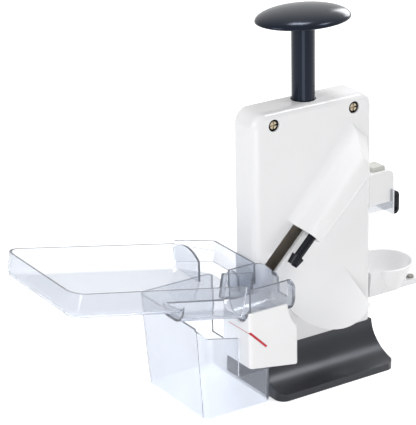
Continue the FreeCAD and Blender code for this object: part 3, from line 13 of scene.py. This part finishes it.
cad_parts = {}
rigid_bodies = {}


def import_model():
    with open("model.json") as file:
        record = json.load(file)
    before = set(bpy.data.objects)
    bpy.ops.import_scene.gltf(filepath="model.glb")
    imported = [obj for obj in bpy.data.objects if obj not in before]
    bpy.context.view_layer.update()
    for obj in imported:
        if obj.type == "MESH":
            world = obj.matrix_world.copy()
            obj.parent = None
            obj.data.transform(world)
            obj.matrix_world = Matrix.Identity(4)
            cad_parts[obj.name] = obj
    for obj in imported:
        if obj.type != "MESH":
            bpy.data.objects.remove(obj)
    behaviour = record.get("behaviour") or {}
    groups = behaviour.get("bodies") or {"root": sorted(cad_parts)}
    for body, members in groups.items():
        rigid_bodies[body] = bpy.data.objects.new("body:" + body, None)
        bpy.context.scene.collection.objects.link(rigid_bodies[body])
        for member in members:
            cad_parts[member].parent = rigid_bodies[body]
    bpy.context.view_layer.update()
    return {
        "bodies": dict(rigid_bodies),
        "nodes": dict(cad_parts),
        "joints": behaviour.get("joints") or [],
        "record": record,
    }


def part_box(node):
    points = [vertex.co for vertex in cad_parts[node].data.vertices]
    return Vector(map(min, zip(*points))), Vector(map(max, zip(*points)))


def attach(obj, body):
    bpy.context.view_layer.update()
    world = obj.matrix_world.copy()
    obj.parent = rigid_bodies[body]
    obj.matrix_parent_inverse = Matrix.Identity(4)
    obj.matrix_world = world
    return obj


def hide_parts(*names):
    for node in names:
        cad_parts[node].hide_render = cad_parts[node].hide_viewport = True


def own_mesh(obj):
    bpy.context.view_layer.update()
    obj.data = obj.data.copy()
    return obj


LOG = logging.getLogger("pitter")
MM = 0.001
# The image is 416 by 425, so its height sets how the sensor is used.
IMAGE_HIGH = 425
SENSOR = 36.0
# Clear walls that one ray may pass: tray, seat and container stand behind each other.
CLEAR_LAYERS = 48
# Points of a node's mesh nearer than this are one point, and faces flatter than this are one face.
SAME_POINT_MM = 0.004
FLAT_DEGREES = 0.6

NodeTree = bpy.types.NodeTree
Node = bpy.types.Node
NodeSocket = bpy.types.NodeSocket
Material = bpy.types.Material
Thing = bpy.types.Object


def linear(code: str) -> tuple[float, float, float, float]:
    """Turn an sRGB hex colour to linear light.

    Args:
        code: Six hex digits, such as "f4f4f5".

    Returns:
        Red, green, blue and an alpha of one.
    """
    parts = [int(code[k:k + 2], 16) / 255 for k in (0, 2, 4)]
    light = [c / 12.92 if c <= 0.04045 else ((c + 0.055) / 1.055) ** 2.4 for c in parts]
    return (light[0], light[1], light[2], 1.0)


def add_node(tree: NodeTree, kind: str, links: dict | None = None, **settings: object) -> Node:
    """Add a node with its settings and links.

    Args:
        tree: The node tree that receives it.
        kind: The node's type name.
        links: Input name or number to an output socket or a plain value.
        settings: Properties of the node itself.

    Returns:
        The new node.
    """
    node = tree.nodes.new(kind)
    for name, value in settings.items():
        setattr(node, name, value)
    for name, source in (links or {}).items():
        if isinstance(source, NodeSocket):
            tree.links.new(source, node.inputs[name])
        else:
            node.inputs[name].default_value = source
    return node


def open_material(name: str) -> tuple[Material, NodeTree, Node, Node]:
    """Start a node material.

    Args:
        name: The material's name.

    Returns:
        The material, its tree, its shader and its output.
    """
    material = bpy.data.materials.new(name)
    material.use_nodes = True
    tree = material.node_tree
    tree.nodes.clear()
    output = add_node(tree, "ShaderNodeOutputMaterial")
    shader = add_node(tree, "ShaderNodeBsdfPrincipled")
    tree.links.new(shader.outputs[0], output.inputs["Surface"])
    return material, tree, shader, output


def set_sockets(shader: Node, **values: object) -> None:
    """Set values on a shader's own sockets, with underscores for spaces.

    Args:
        shader: The shader node.
        values: Socket name to value.
    """
    for name, value in values.items():
        shader.inputs[name.replace("_", " ")].default_value = value


def grain_bump(tree: NodeTree, grain_mm: float, height_mm: float) -> Node:
    """A noise bump of a real grain size.

    Args:
        tree: The node tree.
        grain_mm: Width of one grain.
        height_mm: Depth of the relief.

    Returns:
        The bump node.
    """
    place = add_node(tree, "ShaderNodeTexCoord")
    noise = add_node(
        tree, "ShaderNodeTexNoise",
        {"Vector": place.outputs["Object"], "Scale": 1 / (grain_mm * MM), "Detail": 2.0},
    )
    return add_node(
        tree, "ShaderNodeBump",
        {"Height": noise.outputs["Fac"], "Distance": height_mm * MM, "Strength": 1.0},
    )


def background_rays(tree: NodeTree) -> NodeSocket:
    """Tell rays that see the white background from rays that carry light.

    Args:
        tree: The node tree.

    Returns:
        A socket that is one for camera, glossy and transmission rays, and else zero.
    """
    path = add_node(tree, "ShaderNodeLightPath")
    seen = add_node(
        tree, "ShaderNodeMath",
        {0: path.outputs["Is Camera Ray"], 1: path.outputs["Is Transmission Ray"]}, operation="MAXIMUM",
    )
    mirrored = add_node(
        tree, "ShaderNodeMath", {0: seen.outputs[0], 1: path.outputs["Is Glossy Ray"]}, operation="MAXIMUM",
    )
    return mirrored.outputs[0]


@dataclass(frozen=True)
class MouldedPlastic:
    """Injection-moulded plastic: ABS, polyamide, acetal or an elastomer, by its colour and grain."""

    name: str
    colour: str
    roughness: float
    grain_mm: float = 0.8
    relief_mm: float = 0.002
    mottle: float = 0.012
    coat: float = 0.0
    specular: float = 0.5
    gloss_tint: str = "ffffff"
    clouds_per_metre: float = 45.0
    wander: float = 0.1

    def material(self) -> Material:
        """Make the material.

        Returns:
            A plastic whose roughness wanders a little, as moulded skin does.
        """
        material, tree, shader, _ = open_material(self.name)
        place = add_node(tree, "ShaderNodeTexCoord")
        cloud = add_node(
            tree, "ShaderNodeTexNoise",
            {"Vector": place.outputs["Object"], "Scale": self.clouds_per_metre, "Detail": 3.0},
        )
        shade = add_node(
            tree, "ShaderNodeMapRange",
            {"Value": cloud.outputs["Fac"], "To Min": 1 - self.mottle, "To Max": 1 + self.mottle},
        )
        base = linear(self.colour)
        tint = add_node(
            tree, "ShaderNodeMix", {"Factor": 1.0, "A": base, "B": shade.outputs["Result"]},
            data_type="RGBA", blend_type="MULTIPLY",
        )
        gloss = add_node(
            tree, "ShaderNodeMapRange",
            {
                "Value": cloud.outputs["Fac"], "To Min": self.roughness * (1 - self.wander),
                "To Max": self.roughness * (1 + self.wander),
            },
        )
        bump = grain_bump(tree, self.grain_mm, self.relief_mm)
        tree.links.new(tint.outputs["Result"], shader.inputs["Base Color"])
        tree.links.new(gloss.outputs["Result"], shader.inputs["Roughness"])
        tree.links.new(bump.outputs["Normal"], shader.inputs["Normal"])
        set_sockets(
            shader, IOR=1.53, Coat_Weight=self.coat, Coat_Roughness=0.08, Specular_IOR_Level=self.specular,
            Specular_Tint=linear(self.gloss_tint),
        )
        return material


@dataclass(frozen=True)
class ClearStyrene:
    """Clear moulded polystyrene: sharp reflections, and blue-grey where the wall is seen on edge, partly its
    own tint over the longer path and partly painted shade.
    """

    name: str = "clear_polystyrene"
    face: str = "fafcff"
    # Painted shade: the darker blue-grey that the wall takes where it is seen on edge.
    slanted_shade: str = "5a6883"
    steepness: float = 3.0
    veil: str = "eef1f8"
    veil_share: float = 0.09
    depth: str = "5b6880"
    density: float = 72.0
    ior: float = 1.45

    def material(self) -> Material:
        """Make the material.

        Returns:
            A clear wall with a faint milky veil that darkens with the path of light in it.
        """
        material, tree, shader, output = open_material(self.name)
        bump = grain_bump(tree, 9.0, 0.02)
        tree.links.new(bump.outputs["Normal"], shader.inputs["Normal"])
        # Painted shade: the base colour turns darker blue-grey as the wall is seen more on edge.
        slant = add_node(tree, "ShaderNodeLayerWeight", {"Blend": 0.5})
        shade_by_slant = add_node(
            tree, "ShaderNodeMath", {0: slant.outputs["Facing"], 1: self.steepness}, operation="POWER",
        )
        tint = add_node(
            tree, "ShaderNodeMix",
            {"Factor": shade_by_slant.outputs[0], "A": linear(self.face), "B": linear(self.slanted_shade)}, data_type="RGBA",
        )
        tree.links.new(tint.outputs["Result"], shader.inputs["Base Color"])
        set_sockets(shader, IOR=self.ior, Roughness=0.02, Transmission_Weight=1.0)
        milk = add_node(tree, "ShaderNodeBsdfTranslucent", {"Color": linear(self.veil)})
        skin = add_node(
            tree, "ShaderNodeMixShader", {0: self.veil_share, 1: shader.outputs[0], 2: milk.outputs[0]},
        )
        path = add_node(tree, "ShaderNodeLightPath")
        shade = add_node(tree, "ShaderNodeBsdfTransparent", {"Color": linear("f0f3f8")})
        mix = add_node(
            tree, "ShaderNodeMixShader",
            {0: path.outputs["Is Shadow Ray"], 1: skin.outputs[0], 2: shade.outputs[0]},
        )
        tree.links.new(mix.outputs[0], output.inputs["Surface"])
        depth = add_node(
            tree, "ShaderNodeVolumeAbsorption", {"Color": linear(self.depth), "Density": self.density},
        )
        tree.links.new(depth.outputs[0], output.inputs["Volume"])
        return material


@dataclass(frozen=True)
class Metal:
    """Stainless or plated steel with fine lines from rolling or turning."""

    name: str
    colour: str
    roughness: float
    line_mm: float = 0.25
    stretch: tuple[float, float, float] = (1.0, 1.0, 0.06)
    line_deep_mm: float = 0.004
    wander: float = 0.3

    def material(self) -> Material:
        """Make the material.

        Returns:
            A metal whose roughness runs in fine lines along one axis.
        """
        material, tree, shader, _ = open_material(self.name)
        place = add_node(tree, "ShaderNodeTexCoord")
        mapping = add_node(
            tree, "ShaderNodeMapping", {"Vector": place.outputs["Object"], "Scale": self.stretch},
        )
        lines = add_node(
            tree, "ShaderNodeTexNoise",
            {"Vector": mapping.outputs["Vector"], "Scale": 1 / (self.line_mm * MM), "Detail": 2.0},
        )
        gloss = add_node(
            tree, "ShaderNodeMapRange",
            {
                "Value": lines.outputs["Fac"], "To Min": self.roughness * (1 - self.wander),
                "To Max": self.roughness * (1 + self.wander),
            },
        )
        bump = add_node(
            tree, "ShaderNodeBump",
            {"Height": lines.outputs["Fac"], "Distance": self.line_deep_mm * MM, "Strength": 0.6},
        )
        tree.links.new(gloss.outputs["Result"], shader.inputs["Roughness"])
        tree.links.new(bump.outputs["Normal"], shader.inputs["Normal"])
        set_sockets(shader, Base_Color=linear(self.colour), Metallic=1.0)
        return material


@dataclass(frozen=True)
class ShadedRimScrew:
    """Two bronze-grey screw heads, each with painted shade: black round the outside, as the shade down a deep
    sink.
    """

    name: str = "screw_steel_rim_shade"
    colour: str = "b3a893"
    # Painted shade: the black round each head, where the sink shades it.
    rim_shade: str = "0b0b0c"
    bright_mm: float = 3.0
    across_mm: float = 36.2
    high_mm: float = 210.6
    edge_mm: float = 0.5
    grain_mm: float = 0.4

    def material(self) -> Material:
        """Make the material.

        Returns:
            A metal that is bright in the middle of each head, with painted shade black round it.
        """
        material, tree, shader, _ = open_material(self.name)
        place = add_node(tree, "ShaderNodeTexCoord")
        parts = add_node(tree, "ShaderNodeSeparateXYZ", {"Vector": place.outputs["Object"]})
        aside = add_node(tree, "ShaderNodeMath", {0: parts.outputs["X"]}, operation="ABSOLUTE")
        across = add_node(
            tree, "ShaderNodeMath", {0: aside.outputs[0], 1: self.across_mm * MM}, operation="SUBTRACT",
        )
        high = add_node(
            tree, "ShaderNodeMath", {0: parts.outputs["Z"], 1: self.high_mm * MM}, operation="SUBTRACT",
        )
        spot = add_node(tree, "ShaderNodeCombineXYZ", {"X": across.outputs[0], "Y": high.outputs[0]})
        far = add_node(tree, "ShaderNodeVectorMath", {0: spot.outputs[0]}, operation="LENGTH")
        grain = add_node(
            tree, "ShaderNodeTexNoise",
            {"Vector": place.outputs["Object"], "Scale": 1 / (self.grain_mm * MM), "Detail": 3.0},
        )
        wander = add_node(
            tree, "ShaderNodeMath", {0: grain.outputs["Fac"], 1: self.edge_mm * MM, 2: far.outputs["Value"]},
            operation="MULTIPLY_ADD",
        )
        # Painted shade mask: one on the outer band of each head, zero in the bright middle.
        shade_share = add_node(
            tree, "ShaderNodeMapRange",
            {
                "Value": wander.outputs[0], "From Min": (self.bright_mm - 0.1) * MM,
                "From Max": (self.bright_mm + 0.4) * MM,
            },
        )
        tint = add_node(
            tree, "ShaderNodeMix",
            {"Factor": shade_share.outputs["Result"], "A": linear(self.colour), "B": linear(self.rim_shade)},
            data_type="RGBA",
        )
        gloss = add_node(
            tree, "ShaderNodeMapRange", {"Value": grain.outputs["Fac"], "To Min": 0.2, "To Max": 0.4},
        )
        tree.links.new(tint.outputs["Result"], shader.inputs["Base Color"])
        tree.links.new(gloss.outputs["Result"], shader.inputs["Roughness"])
        set_sockets(shader, Metallic=1.0)
        return material


class Finish(Enum):
    """The finishes of the object, each named for the real material and how its surface was made, and for the
    painted shade where one carries it.
    """

    # Polished injection-moulded ABS: clean white with a soft sheen that runs along the rounded edges.
    WHITE = MouldedPlastic("white_abs", "f3f3f4", 0.24, coat=0.15)
    # Painted shade: the same ABS drawn warmer, darker and duller, for the inner back wall seen through the
    # slot.
    STAINED = MouldedPlastic("white_abs_inside_shade", "e6dccd", 0.45, mottle=0.06)
    # Polished slate-coloured ABS: near black, with small bluish highlights.
    DARK = MouldedPlastic("slate_abs", "111620", 0.18, mottle=0.04, specular=0.33, gloss_tint="b4c2dc")
    # Moulded polyamide: blue-black and a little duller, as on rod, head, bush and clip.
    BLACK = MouldedPlastic("blue_black_polyamide", "10141e", 0.26, mottle=0.05, specular=0.2)
    # Spark-grained ABS: charcoal with a broad, slightly speckled highlight. Its grain is drawn a little
    # coarser than the real one, which is too fine to show.
    CHARCOAL = MouldedPlastic(
        "grained_charcoal_abs", "18191d", 0.30, grain_mm=0.55, relief_mm=0.02, mottle=0.10, specular=0.60,
        gloss_tint="e2e6f0",
    )
    # Acetal as moulded: light warm grey, waxy.
    GREY = MouldedPlastic("light_grey_acetal", "c9c9c4", 0.38)
    # Black rubber: matt, with a fine rough skin.
    RUBBER = MouldedPlastic("black_rubber", "151515", 0.65, relief_mm=0.01)
    # Moulded elastomer: strong red, softly matt.
    RED = MouldedPlastic("red_elastomer", "c8102e", 0.45)
    # Clear moulded polystyrene, and its softened edges in a darker blue-grey, which is painted shade for the
    # light that the edges bend and reflect.
    CLEAR = ClearStyrene()
    RIM = ClearStyrene("clear_polystyrene_edge_shade", face="56647e", slanted_shade="414e68")
    # Rolled stainless strip and drawn wire: bright, with fine lines along the rolling.
    STEEL = Metal("rolled_stainless_steel", "c6c8cc", 0.22)
    # Plated screw steel: turned, slightly warm grey.
    SCREW = Metal("plated_screw_steel", "8d8a86", 0.25, line_mm=0.15, stretch=(1.0, 1.0, 1.0))
    # The two face screws: bronze-grey heads, with painted shade black round the outside.
    RINGED = ShadedRimScrew()


class Palette:
    """Makes each finish once."""

    def __init__(self) -> None:
        """Start with no materials made."""
        self.made: dict[Finish, Material] = {}

    def get(self, finish: Finish) -> Material:
        """Give the material of a finish.

        Args:
            finish: The finish.

        Returns:
            Its material.
        """
        if finish not in self.made:
            self.made[finish] = finish.value.material()
        return self.made[finish]


def pick(thing: Thing) -> None:
    """Select one object and nothing else.

    Args:
        thing: The object that operators should act on.
    """
    if bpy.context.object and bpy.context.object.mode != "OBJECT":
        bpy.ops.object.mode_set(mode="OBJECT")
    for other in bpy.context.view_layer.objects:
        other.select_set(False)
    thing.select_set(True)
    bpy.context.view_layer.objects.active = thing


def apply_modifier(thing: Thing, kind: str, **settings: object) -> None:
    """Add a modifier with its settings and apply it.

    Args:
        thing: The object.
        kind: The modifier's type.
        settings: Its properties.
    """
    pick(thing)
    modifier = thing.modifiers.new(kind.lower(), kind)
    for name, value in settings.items():
        setattr(modifier, name, value)
    bpy.ops.object.modifier_apply(modifier=modifier.name)


def smooth(thing: Thing, angle: float = 35.0) -> None:
    """Shade smooth up to an angle.

    Args:
        thing: The object.
        angle: Edges sharper than this many degrees stay crisp.
    """
    pick(thing)
    bpy.ops.object.shade_smooth_by_angle(angle=math.radians(angle))


def moulded_copy(
    frame: dict, node: str, name: str, materials: Sequence[Material], edge_mm: float, angle: float = 32.0,
) -> Thing:
    """Copy a node's own mesh, merge it and soften its edges.

    Args:
        frame: The loaded frame.
        node: The CAD node.
        name: The copy's name.
        materials: The material of its faces, and of its softened edges where they differ.
        edge_mm: Width of the softened edges.
        angle: Edges sharper than this many degrees are softened.

    Returns:
        The copy, which stands for the node.
    """
    source = frame["nodes"][node]
    thing = bpy.data.objects.new(name, source.data.copy())
    bpy.context.scene.collection.objects.link(thing)
    thing.data.materials.clear()
    for material in materials:
        thing.data.materials.append(material)
    pick(thing)
    bpy.ops.object.mode_set(mode="EDIT")
    bpy.ops.mesh.select_all(action="SELECT")
    bpy.ops.mesh.remove_doubles(threshold=SAME_POINT_MM * MM)
    bpy.ops.mesh.customdata_custom_splitnormals_clear()
    bpy.ops.mesh.dissolve_limited(angle_limit=math.radians(FLAT_DEGREES))
    bpy.ops.object.mode_set(mode="OBJECT")
    if edge_mm > 0:
        apply_modifier(
            thing, "BEVEL", width=edge_mm * MM, segments=3, limit_method="ANGLE",
            angle_limit=math.radians(angle), use_clamp_overlap=True, miter_outer="MITER_ARC",
            material=len(materials) - 1,
        )
    smooth(thing, angle)
    apply_modifier(thing, "WEIGHTED_NORMAL", mode="FACE_AREA", weight=50, keep_sharp=True)
    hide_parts(node)
    return thing


@dataclass
class Assembly:
    """A sub-assembly that dresses its nodes and reports its pieces."""

    frame: dict
    palette: Palette

    def finish_piece(self, thing: Thing, body: str) -> Thing:
        """Give a piece its body, and report it.

        Args:
            thing: The piece.
            body: The body it rides on.

        Returns:
            The piece.
        """
        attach(thing, body)
        LOG.info("%s on %s: %d faces", thing.name, body, len(thing.data.polygons))
        return thing

    def skin(
        self, node: str, finish: Finish, slot: str, body: str, edge_mm: float, angle: float = 32.0,
    ) -> Thing:
        """Put a softened copy of a node's mesh in its place and dress it.

        Args:
            node: The CAD node.
            finish: Its finish.
            slot: The record's material slot; not used.
            body: The body it rides on.
            edge_mm: Width of the softened edges.
            angle: Edges sharper than this many degrees are softened.

        Returns:
            The copy.
        """
        # Clear parts get the painted edge shade on their softened edges.
        finishes = [finish, Finish.RIM] if finish is Finish.CLEAR else [finish]
        materials = [self.palette.get(each) for each in finishes]
        thing = moulded_copy(self.frame, node, f"{node}_skin", materials, edge_mm, angle)
        return self.finish_piece(thing, body)

    def dress(self, node: str, finish: Finish) -> None:
        """Give a carried-over node its material.

        Args:
            node: The CAD node.
            finish: Its finish.
        """
        thing = self.frame["nodes"][node]
        thing.data.materials.clear()
        thing.data.materials.append(self.palette.get(finish))
        smooth(thing)
        LOG.info("%s dressed in %s", node, finish.name.lower())


@dataclass
class Plunger(Assembly):
    """The cap, the shaft and what moves with them."""

    stroke_mm: float = 43.0

    def build(self) -> None:
        """Build the pieces that ride on the plunger."""
        self.skin("handle_cap", Finish.DARK, "dark_plastic", "plunger", 0.5)
        self.skin("plunger_shaft", Finish.DARK, "dark_plastic", "plunger", 0.3)
        self.skin("crosshead", Finish.GREY, "grey_plastic", "plunger", 0.4)
        self.dress("cap_screw", Finish.STEEL)
        self.dress("crosshead_pin", Finish.STEEL)
        self.coil()

    def coil(self) -> None:
        """Build the return spring on the base, with a mesh of its own."""
        spring = self.skin("return_spring", Finish.STEEL, "steel", "base", 0.0)
        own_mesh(spring)


@dataclass
class Housing(Assembly):
    """The white shells with the bush, the guide and the screws."""

    def build(self) -> None:
        """Build the housing's pieces."""
        self.skin("front_shell", Finish.WHITE, "white_plastic", "base", 0.35)
        self.shade_inside(self.skin("rear_shell", Finish.WHITE, "white_plastic", "base", 0.35))
        self.skin("shaft_bush", Finish.BLACK, "black_plastic", "base", 0.2)
        self.dress("spring_guide", Finish.GREY)
        self.skin("shell_screws", Finish.RINGED, "dark_steel", "base", 0.25)

    def shade_inside(self, shell: Thing) -> None:
        """Paint shade on the shell's inner back wall, seen through the slot, as a warmer, darker and duller
        finish.

        Args:
            shell: The rear shell.
        """
        # The second material is the painted shade of the inside.
        shell.data.materials.append(self.palette.get(Finish.STAINED))
        back = max(corner[1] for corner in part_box("rear_shell"))
        for face in shell.data.polygons:
            inside = face.center.y < back - 1.0 * MM
            if face.normal.y < -0.9 and inside:
                face.material_index = 1


@dataclass
class Ejector(Assembly):
    """The slanted rod with its head, collar and pin."""

    def build(self) -> None:
        """Build the ejector's pieces."""
        self.skin("ejector_rod", Finish.BLACK, "black_plastic", "ejector", 0.12)
        self.skin("ejector_head", Finish.BLACK, "black_plastic", "ejector", 0.12)
        self.dress("ejector_carriage", Finish.GREY)
        self.dress("follower_pin", Finish.STEEL)


@dataclass
class CherrySide(Assembly):
    """Seat, chute, lip, tray and stone container."""

    def build(self) -> None:
        """Build the pieces of the cherry side."""
        self.skin("cherry_seat", Finish.CLEAR, "clear_plastic", "base", 0.4)
        self.skin("stone_chute", Finish.WHITE, "white_plastic", "base", 0.4)
        self.skin("splash_lip", Finish.RED, "red_rubber", "base", 0.15)
        self.skin("cherry_tray", Finish.CLEAR, "clear_plastic", "cherry_tray", 0.45)
        self.skin("stone_container", Finish.CLEAR, "clear_plastic", "stone_container", 0.45)
        self.dress("chute_screws", Finish.STEEL)


@dataclass
class Foot(Assembly):
    """The suction foot and its works."""

    def build(self) -> None:
        """Build the foot's pieces."""
        self.skin("foot", Finish.CHARCOAL, "charcoal_plastic", "base", 0.5)
        self.skin("suction_lever", Finish.CHARCOAL, "charcoal_plastic", "suction_lever", 0.6)
        self.dress("suction_pad", Finish.RUBBER)
        self.dress("suction_stem", Finish.GREY)
        self.dress("lever_axle", Finish.STEEL)
        self.dress("foot_screws", Finish.STEEL)


@dataclass
class PlumSide(Assembly):
    """The knife block with its knife, clip and tab, and the cup below."""

    def build(self) -> None:
        """Build the pieces of the plum side."""
        self.skin("knife_block", Finish.WHITE, "white_plastic", "plunger", 0.5)
        self.skin("plum_knife", Finish.STEEL, "steel", "plunger", 0.1)
        self.skin("blade_clip", Finish.BLACK, "black_plastic", "plunger", 0.3)
        self.skin("blade_tab", Finish.GREY, "grey_plastic", "plunger", 0.4)
        self.skin("plum_cup", Finish.WHITE, "white_plastic", "base", 0.4)
        self.skin("plum_cup_screw", Finish.SCREW, "dark_steel", "base", 0.25)


@dataclass
class Studio:
    """Camera, lights, floor and background."""

    focal_px: float = 2013.44
    azimuth: float = -32.22
    elevation: float = 21.15
    distance: float = 1476.47
    aim: tuple[float, float, float] = (-85.71, 0.0, 149.48)
    roll: float = -1.27
    floor_size: float = 12.0
    floor_tone: float = 0.85
    floor_glow: float = 0.55
    sky_level: float = 0.455
    lamp_aim: tuple[float, float, float] = (-0.03, 0.0, 0.13)

    def build(self) -> None:
        """Build the studio."""
        self.camera()
        self.world()
        self.floor()
        self.lamps()

    def camera(self) -> None:
        """Place the camera as the photograph's was."""
        turn, lift, roll = (math.radians(a) for a in (self.azimuth, self.elevation, self.roll))
        back = Vector((math.sin(turn) * math.cos(lift), -math.cos(turn) * math.cos(lift), math.sin(lift)))
        side = Vector((math.cos(turn), math.sin(turn), 0))
        up = back.cross(side)
        right = side * math.cos(roll) + up * math.sin(roll)
        rise = up * math.cos(roll) - side * math.sin(roll)
        place = (Vector(self.aim) + back * self.distance) * MM
        data = bpy.data.cameras.new("camera")
        data.lens = self.focal_px * SENSOR / IMAGE_HIGH
        data.sensor_width = SENSOR
        data.clip_end = 100
        camera = bpy.data.objects.new("camera", data)
        bpy.context.scene.collection.objects.link(camera)
        turned = Matrix((right, rise, back)).transposed().to_4x4()
        camera.matrix_world = Matrix.Translation(place) @ turned
        bpy.context.scene.camera = camera

    def world(self) -> None:
        """Light the object evenly and show white behind it."""
        world = bpy.data.worlds.new("studio")
        bpy.context.scene.world = world
        world.use_nodes = True
        tree = world.node_tree
        tree.nodes.clear()
        level = add_node(
            tree, "ShaderNodeMapRange",
            {"Value": background_rays(tree), "To Min": self.sky_level, "To Max": 1.0},
        )
        sky = add_node(
            tree, "ShaderNodeBackground", {"Color": (1, 1, 1, 1), "Strength": level.outputs["Result"]},
        )
        output = add_node(tree, "ShaderNodeOutputWorld")
        tree.links.new(sky.outputs[0], output.inputs["Surface"])

    def floor(self) -> None:
        """Lay a white floor that keeps the object's shadow."""
        bpy.ops.mesh.primitive_plane_add(size=self.floor_size, location=(0, 0, 0))
        floor = bpy.context.object
        floor.name = "floor"
        material, tree, shader, output = open_material("white_floor")
        tone = self.floor_tone
        set_sockets(shader, Base_Color=(tone, tone, tone, 1), Roughness=0.9, Specular_IOR_Level=0.0)
        part = add_node(
            tree, "ShaderNodeMath", {0: background_rays(tree), 1: self.floor_glow}, operation="MULTIPLY",
        )
        emission = add_node(
            tree, "ShaderNodeEmission", {"Color": (1, 1, 1, 1), "Strength": part.outputs[0]},
        )
        total = add_node(tree, "ShaderNodeAddShader", {0: shader.outputs[0], 1: emission.outputs[0]})
        tree.links.new(total.outputs[0], output.inputs["Surface"])
        floor.data.materials.append(material)

    def lamps(self) -> None:
        """Hang soft lamps: a key and a low one on the left, two on the right and one overhead."""
        self.lamp("key_lamp", (-1.85, -0.45, 1.05), (0.9, 0.9), 12.5)
        self.lamp("top_lamp", (0.35, 0.25, 2.0), (0.5, 0.4), 12.0)
        self.lamp("slope_lamp", (0.95, -0.70, 1.6), (0.46, 0.34), 6.0)
        self.lamp("side_lamp", (1.6, 0.9, 0.8), (0.9, 0.6), 11.0)
        self.lamp("low_lamp", (-0.30, -0.47, 0.09), (0.26, 0.16), 0.40)

    def lamp(
        self, name: str, place: tuple[float, float, float], size: tuple[float, float], power: float,
    ) -> None:
        """Hang one area lamp that points at the object.

        Args:
            name: Its name.
            place: Its place, in metres.
            size: Its width and height, in metres.
            power: Its power, in watts.
        """
        data = bpy.data.lights.new(name, "AREA")
        data.shape = "RECTANGLE"
        data.size, data.size_y = size
        data.energy = power
        lamp = bpy.data.objects.new(name, data)
        bpy.context.scene.collection.objects.link(lamp)
        lamp.location = place
        lamp.rotation_euler = (Vector(self.lamp_aim) - Vector(place)).to_track_quat("-Z", "Y").to_euler()
        lamp.visible_camera = False


def main() -> None:
    """Build the object and its studio."""
    logging.basicConfig(level=logging.INFO, format="%(name)s: %(message)s")
    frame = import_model()
    palette = Palette()
    for kind in (Housing, Plunger, Ejector, CherrySide, Foot, PlumSide):
        kind(frame, palette).build()
    Studio().build()
    bpy.context.scene.cycles.transparent_max_bounces = CLEAR_LAYERS
    bpy.context.scene.view_settings.view_transform = "Standard"


if __name__ == "__main__":
    main()
